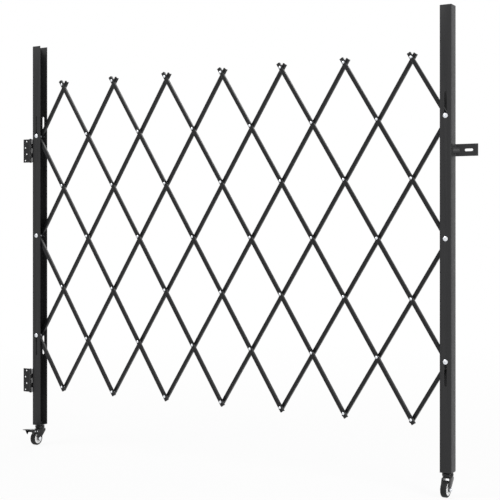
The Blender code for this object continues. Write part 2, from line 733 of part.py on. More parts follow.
def make_axle(name, x, steel):
    origin = Vector((x, -CASTER_TRAIL, WHEEL_RADIUS))
    face = FORK_HALF_WIDTH + GAP
    profile = (
        (AXLE_HEAD_RADIUS, -face - AXLE_HEAD_HEIGHT),
        (AXLE_HEAD_RADIUS, -face),
        (AXLE_RADIUS, -face),
        (AXLE_RADIUS, face + AXLE_NUT_HEIGHT + AXLE_END),
    )
    mesh = bmesh.new()
    add_turned(mesh, profile, Vector(), BOLT_SIDES, "X")
    smooth(make_object(name + "_axle", mesh, origin, steel))
    mesh = bmesh.new()
    make_nut_mesh(mesh, AXLE_NUT_RADIUS, AXLE_RADIUS + GAP, face, face + AXLE_NUT_HEIGHT, "X")
    make_object(name + "_axle_nut", mesh, origin, steel)


def make_brake(name, x, steel, sheet):
    """Pedal that turns on a pin through the ears of the fork, with a shoe above the tyre."""
    origin = Vector((x, -BRAKE_PIN_AHEAD, BRAKE_PIN_HEIGHT))
    outer = PEDAL_HALF_WIDTH
    inner = PEDAL_HALF_WIDTH - PEDAL_SHEET
    underside = PEDAL_TOP - PEDAL_SHEET
    section = (
        (-outer, -PEDAL_CHEEK_BOTTOM - OVERRUN),
        (-outer, PEDAL_TOP),
        (outer, PEDAL_TOP),
        (outer, -PEDAL_CHEEK_BOTTOM - OVERRUN),
        (inner, -PEDAL_CHEEK_BOTTOM - OVERRUN),
        (inner, underside),
        (-inner, underside),
        (-inner, -PEDAL_CHEEK_BOTTOM - OVERRUN),
    )
    mesh = bmesh.new()
    add_prism(mesh, section, "Y", -PEDAL_REACH - OVERRUN, PEDAL_BACK + OVERRUN)
    pedal = make_object(name + "_brake_pedal", mesh, origin, sheet)
    pedal.rotation_euler = (-PEDAL_TILT, 0, 0)
    shape = bmesh.new()
    outline = (
        (-PEDAL_REACH, underside - PEDAL_SHEET / 4),
        (-PEDAL_REACH, PEDAL_TOP + OVERRUN),
        (-PEDAL_CHEEK_BOTTOM, PEDAL_TOP + OVERRUN),
        (PEDAL_BACK, PEDAL_CHEEK_BOTTOM / 2),
        (PEDAL_BACK, -PEDAL_CHEEK_BOTTOM / 2),
        (PEDAL_CHEEK_BOTTOM / 2, -PEDAL_CHEEK_BOTTOM),
        (-PEDAL_CHEEK_BOTTOM, -PEDAL_CHEEK_BOTTOM),
        (-PEDAL_CHEEK_FRONT, 0),
        (-PEDAL_NECK, underside - PEDAL_SHEET / 4),
    )
    add_prism(shape, outline, "X", -outer - OVERRUN, outer + OVERRUN)
    combine(pedal, "INTERSECT", shape)
    plan = (
        (-outer - OVERRUN, PEDAL_BACK + OVERRUN),
        (-outer - OVERRUN, -PEDAL_NECK),
        (-PEDAL_TIP_HALF_WIDTH, -PEDAL_REACH + OVERRUN),
        (-PEDAL_TIP_HALF_WIDTH + OVERRUN, -PEDAL_REACH),
        (PEDAL_TIP_HALF_WIDTH - OVERRUN, -PEDAL_REACH),
        (PEDAL_TIP_HALF_WIDTH, -PEDAL_REACH + OVERRUN),
        (outer + OVERRUN, -PEDAL_NECK),
        (outer + OVERRUN, PEDAL_BACK + OVERRUN),
    )
    shape = bmesh.new()
    add_prism(shape, plan, "Z", -PEDAL_TOP - OVERRUN, PEDAL_TOP + OVERRUN)
    combine(pedal, "INTERSECT", shape)
    shoe = bmesh.new()
    outline = rectangle(-SHOE_FRONT, -SHOE_BACK, -SHOE_DROP, underside + PEDAL_SHEET / 2)
    add_prism(shoe, outline, "X", -SHOE_HALF_WIDTH, SHOE_HALF_WIDTH)
    combine(pedal, "UNION", shoe)
    hole = bmesh.new()
    profile = ((BRAKE_PIN_HOLE_RADIUS, -outer - OVERRUN), (BRAKE_PIN_HOLE_RADIUS, outer + OVERRUN))
    add_turned(hole, profile, Vector(), BRAKE_PIN_SIDES, "X")
    combine(pedal, "DIFFERENCE", hole)
    face = outer + GAP
    profile = (
        (BRAKE_PIN_HEAD_RADIUS, -face - BRAKE_PIN_HEAD_HEIGHT),
        (BRAKE_PIN_HEAD_RADIUS, -face),
        (BRAKE_PIN_RADIUS, -face),
        (BRAKE_PIN_RADIUS, face),
        (BRAKE_PIN_HEAD_RADIUS, face),
        (BRAKE_PIN_HEAD_RADIUS, face + BRAKE_PIN_HEAD_HEIGHT),
    )
    mesh = bmesh.new()
    add_turned(mesh, profile, Vector(), BRAKE_PIN_SIDES, "X")
    smooth(make_object(name + "_brake_pin", mesh, origin, steel))


def make_caster(name, side, braked, steel, coated, rubber, plastic):
    x = caster_x(side)
    make_caster_top(name, x, coated, steel)
    make_fork(name, x, braked, coated)
    make_wheel(name, x, rubber, plastic)
    make_axle(name, x, steel)
    if braked:
        make_brake(name, x, steel, coated)


def main():
    clear_scene()
    coated = make_material("powder_coated_steel", (0.035, 0.036, 0.038), 0.5, 0.0)
    zinc = make_material("zinc_plated_steel", (0.6, 0.6, 0.62), 0.35, 1.0)
    rubber = make_material("rubber", (0.02, 0.02, 0.02), 0.75, 0.0)
    plastic = make_material("white_plastic", (0.8, 0.8, 0.78), 0.45, 0.0)
    hinge_axis = hinge_pin_place(MIDDLE_HEIGHT)
    make_post("post_left", 0, -1, hinge_axis, coated)
    make_post("post_right", COLUMNS, 1, joint_place(COLUMNS, DIAMONDS_HIGH), coated)
    make_foot_plate("foot_plate_left", 0, -1, coated)
    make_foot_plate("foot_plate_right", COLUMNS, 1, coated)
    make_lattice(coated)
    for side, column in (("left", 0), ("right", COLUMNS)):
        for level, row in (("bottom", 1), ("middle", DIAMONDS_HIGH), ("top", ROWS - 1)):
            make_bolt(side + "_" + level, column, row, zinc, zinc)
    make_hinge("hinge_top", MIDDLE_HEIGHT + TOP_HINGE_RISE, coated, zinc)
    make_hinge("hinge_bottom", MIDDLE_HEIGHT - BOTTOM_HINGE_DROP, coated, zinc)
    make_lock_plate(coated)
    make_caster("caster_left", -1, True, zinc, coated, rubber, plastic)
    make_caster("caster_right", 1, False, zinc, coated, rubber, plastic)
    move_to_wall_leaf()


main()
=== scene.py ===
"""Looks of the folding security gate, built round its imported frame.

Every visible piece is modelled here in metres, in the frame's own axes: X along the gate, Y to the
back and Z up. Places are laid out from the middle plane of the gate, which the frame gives.
"""

import math

import bmesh
import bpy
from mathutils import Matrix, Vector


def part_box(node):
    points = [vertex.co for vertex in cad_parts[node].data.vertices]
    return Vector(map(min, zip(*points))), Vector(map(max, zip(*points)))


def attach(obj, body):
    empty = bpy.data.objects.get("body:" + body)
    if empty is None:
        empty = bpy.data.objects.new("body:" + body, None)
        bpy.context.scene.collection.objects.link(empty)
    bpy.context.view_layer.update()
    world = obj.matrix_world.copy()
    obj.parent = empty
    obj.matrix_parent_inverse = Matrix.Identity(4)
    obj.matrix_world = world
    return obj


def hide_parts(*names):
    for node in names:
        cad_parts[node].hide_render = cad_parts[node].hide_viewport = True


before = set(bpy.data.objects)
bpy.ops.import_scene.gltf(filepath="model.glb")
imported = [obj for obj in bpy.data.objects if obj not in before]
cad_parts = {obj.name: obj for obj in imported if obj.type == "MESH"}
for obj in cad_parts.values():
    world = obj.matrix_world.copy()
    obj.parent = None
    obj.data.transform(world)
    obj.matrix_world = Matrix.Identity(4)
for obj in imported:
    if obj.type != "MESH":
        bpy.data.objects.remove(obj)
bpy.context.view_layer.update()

# Places that the frame gives
LEFT_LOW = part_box("post_left")[0]
RIGHT_LOW, RIGHT_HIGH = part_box("post_right")
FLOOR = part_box("caster_right_tyre")[0].z
MIDDLE_X = (LEFT_LOW.x + RIGHT_HIGH.x) / 2
MIDDLE_Y = (RIGHT_LOW.y + RIGHT_HIGH.y) / 2
MIDDLE_Z = (RIGHT_LOW.z + RIGHT_HIGH.z) / 2
GATE_WIDTH = RIGHT_HIGH.x - LEFT_LOW.x
POST_FACE = RIGHT_HIGH.x - RIGHT_LOW.x
POST_DEPTH = RIGHT_HIGH.y - RIGHT_LOW.y
POST_BOTTOM = RIGHT_LOW.z
POST_TOP = RIGHT_HIGH.z

# Lattice layout
DIAMOND_HEIGHT = 0.381
DIAMONDS_WIDE = 7
DIAMONDS_HIGH = 3
BOLT_SETBACK = 0.019
COLUMNS = 2 * DIAMONDS_WIDE
ROWS = 2 * DIAMONDS_HIGH
COLUMN_STEP = (GATE_WIDTH - 2 * BOLT_SETBACK) / COLUMNS
ROW_STEP = DIAMOND_HEIGHT / 2

# Edges, clearances and cuts
SEAM = 0.0001
EDGE_ROUNDING = 0.0003
OVERRUN = 0.002
EDGE_ANGLE = math.radians(40)
EDGE_SEGMENTS = 2
SMOOTH_ANGLE = math.radians(35)
SHEET_BEND_STEPS = 6
CORNER_STEPS = 4
SLOT_END_STEPS = 12

# Posts
POST_WALL = 0.002
POST_BEND = 0.0025
POST_FRONT = -POST_DEPTH / 2
POST_BACK = POST_DEPTH / 2
SLOT_TRAVEL = 0.072
FOOT_PLATE_THICKNESS = 0.003
FOOT_PLATE_CORNER = 0.004
WELD_RADIUS = 0.0016
WELD_RIPPLES = 22
WELD_TROUGH = 0.92
WELD_END = 0.35
WELD_SIDES = 12

# Lattice bars
BAR_FACE = 0.0127
BAR_DEPTH = 0.0105
BAR_WALL = 0.0015
BAR_BEND = 0.0019
BAR_SPACING = 0.007
BAR_TAIL = 0.016
BEND_STEPS = 5
FRONT_BAR_FACE = -BAR_SPACING / 2 - BAR_DEPTH
BACK_BAR_FACE = BAR_SPACING / 2

# Lattice rivets
RIVET_RADIUS = 0.0026
RIVET_HOLE_RADIUS = 0.0029
RIVET_HEAD_RADIUS = 0.0044
RIVET_HEAD_HEIGHT = 0.0021
RIVET_RIM = 0.0004
RIVET_SPACER_RADIUS = 0.004
RIVET_TAIL_RADIUS = 0.0038
RIVET_TAIL_HEIGHT = 0.0015
RIVET_DIMPLE_RADIUS = 0.0017
RIVET_SIDES = 24
RIVET_CROWN_STEPS = 6

# Post bolts
BOLT_RADIUS = 0.0037
BOLT_HOLE_RADIUS = 0.0042
BOLT_HEAD_RADIUS = 0.0076
BOLT_HEAD_HEIGHT = 0.0031
BOLT_RIM = 0.0008
BOLT_END = 0.0015
BOLT_SLEEVE_RADIUS = 0.0052
BOLT_NUT_RADIUS = 0.0066
BOLT_NUT_HEIGHT = 0.005
BOLT_SIDES = 40
BOLT_CROWN_STEPS = 9
NUT_SIDES = 48
CROSS_REACH = 0.0034
CROSS_HALF_WIDTH = 0.0008
CROSS_DEPTH = 0.0020
THREAD_PITCH = 0.0008
THREAD_DEPTH = 0.0003
THREAD_CREST = (1 / 8, 3 / 8)
THREAD_ROOT = 6 / 8

# Hinges
HINGE_HEIGHT = 0.089
HINGE_LEAF_WIDTH = 0.038
HINGE_LEAF_THICKNESS = 0.002
HINGE_BARREL_RADIUS = 0.005
HINGE_BORE_RADIUS = 0.0031
HINGE_PIN_RADIUS = 0.0029
HINGE_PIN_HEAD_RADIUS = 0.0043
HINGE_PIN_HEAD_HEIGHT = 0.0018
HINGE_PIN_CROWN_STEPS = 6
HINGE_CURL_START = 90
HINGE_CURL_END = -214
HINGE_CURL_STEPS = 28
HINGE_KNUCKLES = 5
HINGE_KNUCKLE_GAP = 0.0003
HINGE_HOLE_RADIUS = 0.0027
HINGE_SINK_RADIUS = 0.0038
HINGE_HOLE_EDGES = (0.0145, 0.0085, 0.0145, 0.0085)
HINGE_HOLE_PITCH = 0.0243
HINGE_CORNER = 0.0012
TOP_HINGE_RISE = 0.325
BOTTOM_HINGE_DROP = 0.555

# Lock plate
LOCK_RISE = 0.274
LOCK_HEIGHT = 0.038
LOCK_THICKNESS = 0.003
LOCK_REACH = 0.077
LOCK_FACE_SETBACK = 0.024
LOCK_FLANGE_SETBACK = 0.003
LOCK_BEND_RADIUS = 0.006
LOCK_BEND_STEPS = 8
LOCK_SLOT_LENGTH = 0.027
LOCK_SLOT_WIDTH = 0.008
LOCK_SLOT_END = 0.0155
LOCK_RIB_LEG = 0.0165
LOCK_RIB_HALF_HEIGHT = 0.011
LOCK_RIB_BULGE = 0.95
LOCK_RIB_SWEEP = 84
LOCK_RIB_STEPS = 18

# Casters
CASTER_DROP = POST_BOTTOM - FLOOR
CASTER_TRAIL = 0.020
STEM_RADIUS = 0.0048
STEM_HOLE_RADIUS = 0.0052
STEM_REACH = 0.016
STEM_NUT_RADIUS = 0.0092
STEM_NUT_HEIGHT = 0.008
COLLAR_RADIUS = 0.0105
HOUSING_GAP = 0.003
HOUSING_RADIUS = 0.018
HOUSING_HEIGHT = 0.0065
HOUSING_SHOULDER = 0.0028
KING_PIN_RADIUS = 0.0042
KING_PIN_HOLE_RADIUS = 0.0047
KING_PIN_HEAD_RADIUS = 0.007
KING_PIN_HEAD_HEIGHT = 0.0022
RACE_RADIUS = 0.0175
RACE_HEIGHT = 0.0045
RACE_GAP = 0.0003
FORK_SHEET = 0.0024
FORK_HALF_WIDTH = 0.0138
FORK_HALF_LENGTH = 0.017
FORK_CHEEK_RADIUS = 0.009
FORK_CHEEK_START = -50
FORK_CHEEK_END = -190
FORK_CHEEK_STEPS = 14
FORK_SHOULDER = 0.007
FORK_BEND = 0.005
FORK_TOP = CASTER_DROP - HOUSING_GAP - HOUSING_HEIGHT - RACE_GAP - RACE_HEIGHT
FORK_UNDERSIDE = FORK_TOP - FORK_SHEET
WHEEL_RADIUS = 0.026
TYRE_HALF_WIDTH = 0.0099
TYRE_INNER_RADIUS = 0.0193
TYRE_SHOULDER = 0.005
TYRE_SHOULDER_START = 80
TYRE_SHOULDER_END = 12
TYRE_SHOULDER_STEPS = 7
TYRE_SIDES = 72
MOULD_LINE = 0.0002
HUB_RADIUS = 0.0190
HUB_RIM_RADIUS = 0.0162
HUB_RIM_HALF_WIDTH = 0.0093
HUB_WEB_HALF_WIDTH = 0.004
HUB_BOSS_RADIUS = 0.0078
HUB_BOSS_HALF_WIDTH = 0.0108
HUB_BORE_RADIUS = 0.0044
HUB_RIBS = 6
HUB_RIB_HALF_WIDTH = 0.0007
HUB_SIDES = 60
AXLE_RADIUS = 0.004
AXLE_HOLE_RADIUS = 0.0043
AXLE_HEAD_RADIUS = 0.0068
AXLE_HEAD_HEIGHT = 0.0035
AXLE_CROWN_STEPS = 7
AXLE_NUT_RADIUS = 0.0072
AXLE_NUT_HEIGHT = 0.0055
AXLE_END = 0.0015
CASTER_X = GATE_WIDTH / 2 - POST_FACE / 2

# Brake pedal
BRAKE_PIN_AHEAD = 0.027
BRAKE_PIN_HEIGHT = 0.054
BRAKE_PIN_RADIUS = 0.0018
BRAKE_PIN_HOLE_RADIUS = 0.0023
BRAKE_PIN_HEAD_RADIUS = 0.0034
BRAKE_PIN_HEAD_HEIGHT = 0.0012
EAR_FRONT = 0.033
EAR_BOTTOM = 0.046
EAR_TOP = 0.0575
EAR_CORNER = (EAR_TOP - EAR_BOTTOM) / 3
EAR_CORNER_STEPS = 5
PEDAL_SHEET = 0.0018
PEDAL_BEND = 0.0035
PEDAL_HALF_WIDTH = 0.0160
PEDAL_TIP_HALF_WIDTH = 0.0120
PEDAL_REACH = 0.061
PEDAL_TOP = 0.0070
PEDAL_BACK = 0.006
PEDAL_BACK_START = 60
PEDAL_BACK_END = -90
PEDAL_BACK_STEPS = 8
PEDAL_CROWN_STEPS = 5
PEDAL_CHEEK_BOTTOM = 0.005
PEDAL_NECK = 0.020
PEDAL_LUG_BACK = 0.0215
PEDAL_LUG_TIP = 0.0267
PEDAL_LUG_DROP = 0.0133
PEDAL_LUG_FRONT = 0.0425
PEDAL_RIVETS_AHEAD = (0.0062, 0.0188)
PEDAL_RIVET_RADIUS = 0.0013
PEDAL_RIVET_HEAD_RADIUS = 0.0022
PEDAL_RIVET_HEAD_HEIGHT = 0.001
PEDAL_TIP_CORNER = 0.005
PEDAL_TILT = math.radians(6.5)
PEDAL_RIBS = 4
PEDAL_RIB_PITCH = 0.005
PEDAL_RIB_RADIUS = 0.0008
SHOE_HALF_WIDTH = 0.008
SHOE_FRONT = 0.0095
SHOE_BACK = 0.0075
SHOE_DROP = 0.0035

# Camera, measured from the gate's middle plane and the floor
CAMERA_PLACE = (2.0039, -3.2970, 0.8489)
CAMERA_YAW = 0.5209
CAMERA_LENS = 79.95
CAMERA_SHIFT = (-0.0006, -0.0545)
SENSOR_WIDTH = 36

# Stage, measured the same way. Each softbox has its place, its size and its power.
AIM_HEIGHT = 0.8
SOFTBOXES = {
    "key_softbox": ((-2.6, -2.6, 4.6), 2.4, 70.0),
    "side_softbox": ((4.6, -1.7, 1.4), 2.0, 120.0),
    "back_softbox": ((-1.0, 3.2, 2.6), 2.4, 30.0),
}
WORLD_STRENGTH = 0.55
FLOOR_REACH = 30.0
FLOOR_PAINT = 0.9
FLOOR_GLOW = 0.9
FLOOR_FADE_START = 1.0
FLOOR_FADE_END = 4.0

# Finishes: scales in cells to the metre, depths and radius in metres, the rest as shares of one
PEBBLE_SCALE = 1500.0
FINE_PEBBLE_SCALE = 900.0
POWDER_PEBBLE_DEPTH = 0.00006
BAR_PEBBLE_DEPTH = 0.00005
PAINT_PEBBLE_DEPTH = 0.00002
COAT_BUMP = 0.6
COAT_RUBBING = 0.3
COAT_DUST = 0.05
PAINT_DUST = 0.04
RUBBED_RADIUS = 0.0008
RUBBED_STEEL = (0.16, 0.16, 0.165, 1)
DUST_MATTING = 0.4
PLATE_BUMP = 0.25
PLATE_MARK_DEPTH = 0.00004
RUBBER_SPECULAR = 0.25
RUBBER_DUST = 0.04
RUBBER_BUMP = 0.5
RUBBER_GRAIN_DEPTH = 0.00006
PLASTIC_DUST = 0.03
PLASTIC_BUMP = 0.3
PLASTIC_GRAIN_DEPTH = 0.00003


def gate_point(x, y, z):
    """Point measured from the gate's middle and from the floor, in the frame's axes."""
    return Vector((x + MIDDLE_X, y + MIDDLE_Y, z + FLOOR))


def joint_point(column, row):
    """Lattice joint in the middle plane, counted from the bottom left."""
    x = MIDDLE_X + (column - COLUMNS / 2) * COLUMN_STEP
    z = MIDDLE_Z + (row - ROWS / 2) * ROW_STEP
    return Vector((x, MIDDLE_Y, z))


# Shader helpers
def fill_sockets(tree, node, values):
    """Gives each named input of a node its link or its plain value."""
    for socket, value in values.items():
        if isinstance(value, bpy.types.NodeSocket):
            tree.links.new(value, node.inputs[socket])
        else:
            node.inputs[socket].default_value = value


def add_node(tree, kind, values=None, **settings):
    """Adds a node, sets its fields and fills its sockets."""
    node = tree.nodes.new("ShaderNode" + kind)
    for field, setting in settings.items():
        setattr(node, field, setting)
    fill_sockets(tree, node, values or {})
    return node


def new_group(name, inputs, outputs):
    """Shader group with named sockets. Returns the tree, its inputs and its output node."""
    group = bpy.data.node_groups.new(name, "ShaderNodeTree")
    kinds = {"colour": "NodeSocketColor", "value": "NodeSocketFloat"}
    for label, kind, default in inputs:
        socket = group.interface.new_socket(label, in_out="INPUT", socket_type=kinds[kind])
        socket.default_value = default
    for label, kind in outputs:
        group.interface.new_socket(label, in_out="OUTPUT", socket_type=kinds[kind])
    entry = group.nodes.new("NodeGroupInput")
    leave = group.nodes.new("NodeGroupOutput")
    return group, entry.outputs, leave.inputs


def use_group(tree, group, values):
    """Places a shader group in a material with its own values."""
    node = tree.nodes.new("ShaderNodeGroup")
    node.node_tree = group
    fill_sockets(tree, node, values)
    return node.outputs


def noise(tree, scale, detail=3.0, roughness=0.55):
    """Noise in the piece's own coordinates, at a scale in cells to the metre."""
    place = add_node(tree, "TexCoord").outputs["Object"]
    values = {"Vector": place, "Scale": scale, "Detail": detail, "Roughness": roughness}
    return add_node(tree, "TexNoise", values).outputs["Fac"]


def remap(tree, value, low, high, new_low, new_high):
    values = {"Value": value, "From Min": low, "From Max": high, "To Min": new_low, "To Max": new_high}
    return add_node(tree, "MapRange", values).outputs["Result"]


def maths(tree, operation, first, second):
    return add_node(tree, "Math", {0: first, 1: second}, operation=operation).outputs[0]


def mix_colours(tree, amount, first, second):
    values = {0: amount, 6: first, 7: second}
    return add_node(tree, "Mix", values, data_type="RGBA").outputs[2]


def group_pebbled_coat():
    """Orange peel of a sprayed and baked coat, with a slow drift of tone and gloss."""
    inputs = (
        ("Colour", "colour", (0.03, 0.03, 0.03, 1)),
        ("Pebble Scale", "value", PEBBLE_SCALE),
        ("Tone Drift", "value", 0.15),
        ("Roughness", "value", 0.4),
    )
    outputs = (("Colour", "colour"), ("Roughness", "value"), ("Height", "value"))
    group, entry, leave = new_group("pebbled_coat", inputs, outputs)
    group.links.new(noise(group, entry["Pebble Scale"], 2.0, 0.5), leave["Height"])
    drift = noise(group, 14.0, 4.0)
    lift = maths(group, "MULTIPLY", maths(group, "SUBTRACT", drift, 0.5), entry["Tone Drift"])
    gain = maths(group, "ADD", lift, 1.0)
    grey = add_node(group, "CombineColor", {0: gain, 1: gain, 2: gain}).outputs[0]
    values = {0: 1.0, 6: entry["Colour"], 7: grey}
    toned = add_node(group, "Mix", values, data_type="RGBA", blend_type="MULTIPLY")
    group.links.new(toned.outputs[2], leave["Colour"])
    patches = remap(group, noise(group, 70.0, 5.0), 0.3, 0.7, -0.04, 0.05)
    group.links.new(maths(group, "ADD", entry["Roughness"], patches), leave["Roughness"])
    return group


def group_rubbed_edges():
    """Thin rubbed line along outer edges, broken up by noise."""
    inputs = (
        ("Colour", "colour", (0.03, 0.03, 0.03, 1)),
        ("Rubbed Colour", "colour", (0.2, 0.2, 0.2, 1)),
        ("Radius", "value", RUBBED_RADIUS),
        ("Amount", "value", 0.4),
    )
    group, entry, leave = new_group("rubbed_edges", inputs, (("Colour", "colour"),))
    rounded = add_node(group, "Bevel", {"Radius": entry["Radius"]}, samples=4).outputs["Normal"]
    normal = add_node(group, "NewGeometry").outputs["Normal"]
    facing = add_node(group, "VectorMath", {0: rounded, 1: normal}, operation="DOT_PRODUCT")
    edges = remap(group, facing.outputs["Value"], 1.0, 0.85, 0.0, 1.0)
    broken = remap(group, noise(group, 260.0, 5.0), 0.35, 0.65, 0.2, 1.0)
    mask = maths(group, "MULTIPLY", maths(group, "MULTIPLY", edges, broken), entry["Amount"])
    group.links.new(mix_colours(group, mask, entry["Colour"], entry["Rubbed Colour"]), leave["Colour"])
    return group


def group_settled_dust():
    """Faint dust on faces that look up."""
    inputs = (
        ("Colour", "colour", (0.03, 0.03, 0.03, 1)),
        ("Dust Colour", "colour", (0.4, 0.38, 0.35, 1)),
        ("Amount", "value", 0.1),
    )
    group, entry, leave = new_group("settled_dust", inputs, (("Colour", "colour"), ("Mask", "value")))
    normal = add_node(group, "NewGeometry").outputs["Normal"]
    upward = add_node(group, "SeparateXYZ", {0: normal}).outputs["Z"]
    facing = remap(group, upward, 0.35, 1.0, 0.0, 1.0)
    specks = remap(group, noise(group, 420.0, 6.0, 0.7), 0.42, 0.7, 0.0, 1.0)
    mask = maths(group, "MULTIPLY", maths(group, "MULTIPLY", facing, specks), entry["Amount"])
    group.links.new(mask, leave["Mask"])
    group.links.new(mix_colours(group, mask, entry["Colour"], entry["Dust Colour"]), leave["Colour"])
    return group


def group_plated_metal():
    """Zinc plate with cloudy tone, fine handling marks and uneven gloss."""
    inputs = (
        ("Colour", "colour", (0.8, 0.8, 0.8, 1)),
        ("Cloud Colour", "colour", (0.6, 0.62, 0.66, 1)),
        ("Cloud Scale", "value", 350.0),
        ("Roughness", "value", 0.3),
    )
    outputs = (("Colour", "colour"), ("Roughness", "value"), ("Height", "value"))
    group, entry, leave = new_group("plated_metal", inputs, outputs)
    clouds = noise(group, entry["Cloud Scale"], 4.0, 0.5)
    amount = remap(group, clouds, 0.35, 0.65, 0.0, 1.0)
    group.links.new(mix_colours(group, amount, entry["Colour"], entry["Cloud Colour"]), leave["Colour"])
    marks = noise(group, 2600.0, 3.0)
    uneven = remap(group, marks, 0.3, 0.7, -0.05, 0.08)
    group.links.new(maths(group, "ADD", entry["Roughness"], uneven), leave["Roughness"])
    group.links.new(marks, leave["Height"])
    return group


PEBBLED_COAT = group_pebbled_coat()
RUBBED_EDGES = group_rubbed_edges()
SETTLED_DUST = group_settled_dust()
PLATED_METAL = group_plated_metal()


def new_material(name, roughness, metallic):
    """Material with its own Principled BSDF. Returns it with its tree and its shader."""
    material = bpy.data.materials.new(name)
    material.use_nodes = True
    tree = material.node_tree
    shader = tree.nodes["Principled BSDF"]
    shader.inputs["Roughness"].default_value = roughness
    shader.inputs["Metallic"].default_value = metallic
    return material, tree, shader


def bump_surface(tree, shader, height, strength, distance):
    values = {"Height": height, "Strength": strength, "Distance": distance}
    bump = add_node(tree, "Bump", values)
    tree.links.new(bump.outputs["Normal"], shader.inputs["Normal"])


def coated_steel(name, colour, roughness, specular, pebble_depth, pebble_scale=PEBBLE_SCALE, dust=COAT_DUST):
    """Steel under a black coat, rubbed along its edges and a little dusty."""
    material, tree, shader = new_material(name, roughness, 0.0)
    shader.inputs["Specular IOR Level"].default_value = specular
    values = {"Colour": (*colour, 1), "Pebble Scale": pebble_scale, "Roughness": roughness}
    coat = use_group(tree, PEBBLED_COAT, values)
    values = {"Colour": coat["Colour"], "Rubbed Colour": RUBBED_STEEL, "Amount": COAT_RUBBING}
    worn = use_group(tree, RUBBED_EDGES, values)
    dusty = use_group(tree, SETTLED_DUST, {"Colour": worn["Colour"], "Amount": dust})
    tree.links.new(dusty["Colour"], shader.inputs["Base Color"])
    matting = maths(tree, "MULTIPLY", dusty["Mask"], DUST_MATTING)
    tree.links.new(maths(tree, "ADD", coat["Roughness"], matting), shader.inputs["Roughness"])
    bump_surface(tree, shader, coat["Height"], COAT_BUMP, pebble_depth)
    return material


def zinc_steel(name, colour, cloud, roughness):
    """Zinc plated steel, cloudy between two tones."""
    material, tree, shader = new_material(name, roughness, 1.0)
    values = {"Colour": (*colour, 1), "Cloud Colour": (*cloud, 1), "Roughness": roughness}
    plate = use_group(tree, PLATED_METAL, values)
    tree.links.new(plate["Colour"], shader.inputs["Base Color"])
    tree.links.new(plate["Roughness"], shader.inputs["Roughness"])
    bump_surface(tree, shader, plate["Height"], PLATE_BUMP, PLATE_MARK_DEPTH)
    return material


def moulded_rubber():
    """Tyre rubber, matt, with a faint bloom in patches."""
    material, tree, shader = new_material("tyre_rubber", 0.6, 0.0)
    shader.inputs["Specular IOR Level"].default_value = RUBBER_SPECULAR
    bloom = remap(tree, noise(tree, 120.0, 6.0), 0.4, 0.75, 0.0, 1.0)
    colour = mix_colours(tree, bloom, (0.006, 0.006, 0.0065, 1), (0.014, 0.014, 0.0145, 1))
    dusty = use_group(tree, SETTLED_DUST, {"Colour": colour, "Amount": RUBBER_DUST})
    tree.links.new(dusty["Colour"], shader.inputs["Base Color"])
    tree.links.new(remap(tree, bloom, 0.0, 1.0, 0.52, 0.72), shader.inputs["Roughness"])
    bump_surface(tree, shader, noise(tree, 2200.0, 3.0), RUBBER_BUMP, RUBBER_GRAIN_DEPTH)
    return material


def moulded_plastic():
    """White hub plastic with a slightly uneven tone."""
    material, tree, shader = new_material("hub_plastic", 0.35, 0.0)
    tone = remap(tree, noise(tree, 60.0, 4.0), 0.35, 0.65, 0.0, 1.0)
    colour = mix_colours(tree, tone, (0.92, 0.92, 0.92, 1), (0.88, 0.88, 0.875, 1))
    dusty = use_group(tree, SETTLED_DUST, {"Colour": colour, "Amount": PLASTIC_DUST})
    tree.links.new(dusty["Colour"], shader.inputs["Base Color"])
    grain = noise(tree, 900.0, 2.0)
    tree.links.new(remap(tree, grain, 0.3, 0.7, 0.3, 0.42), shader.inputs["Roughness"])
    bump_surface(tree, shader, grain, PLASTIC_BUMP, PLASTIC_GRAIN_DEPTH)
    return material


POWDER_COAT = coated_steel("black_powder_coat", (0.024, 0.024, 0.025), 0.42, 0.2, POWDER_PEBBLE_DEPTH)
BAR_COAT = coated_steel("black_bar_coat", (0.008, 0.0083, 0.009), 0.36, 0.24, BAR_PEBBLE_DEPTH)
GLOSS_PAINT = coated_steel(
    "black_gloss_paint", (0.005, 0.005, 0.0055), 0.15, 0.3, PAINT_PEBBLE_DEPTH, FINE_PEBBLE_SCALE, PAINT_DUST
)
BRIGHT_ZINC = zinc_steel("bright_zinc", (0.88, 0.89, 0.90), (0.66, 0.69, 0.74), 0.24)
DULL_ZINC = zinc_steel("dull_zinc", (0.66, 0.67, 0.69), (0.52, 0.54, 0.58), 0.38)
BLACK_ZINC = zinc_steel("black_zinc", (0.036, 0.036, 0.038), (0.022, 0.022, 0.024), 0.36)
TYRE_RUBBER = moulded_rubber()
HUB_PLASTIC = moulded_plastic()


# Outlines
def arc(centre, radius, start, end, steps):
    """Points on an arc from a start angle to an end angle in degrees."""
    points = []
    for i in range(steps + 1):
        angle = math.radians(start + (end - start) * i / steps)
        points.append((centre[0] + radius * math.cos(angle), centre[1] + radius * math.sin(angle)))
    return points


def circle(centre, radius, sides):
    return arc(centre, radius, 0, 360 - 360 / sides, sides - 1)


def rounded_rectangle(low, high, radius):
    """Rectangle with rounded corners, counter-clockwise from its low corner."""
    corners = ((low[0], low[1], 180), (high[0], low[1], 270), (high[0], high[1], 0), (low[0], high[1], 90))
    points = []
    for x, y, start in corners:
        centre = (x + radius if x == low[0] else x - radius, y + radius if y == low[1] else y - radius)
        points += arc(centre, radius, start, start + 90, CORNER_STEPS)
    return points


def slot_outline(centre, radius, reach_across, reach_up):
    """Rounded slot whose end centres lie at the reach on each side of the centre."""
    low = (centre[0] - reach_across, centre[1] - reach_up)
    high = (centre[0] + reach_across, centre[1] + reach_up)
    turn = math.degrees(math.atan2(reach_up, reach_across))
    outline = arc(high, radius, turn - 90, turn + 90, SLOT_END_STEPS)
    return outline + arc(low, radius, turn + 90, turn + 270, SLOT_END_STEPS)


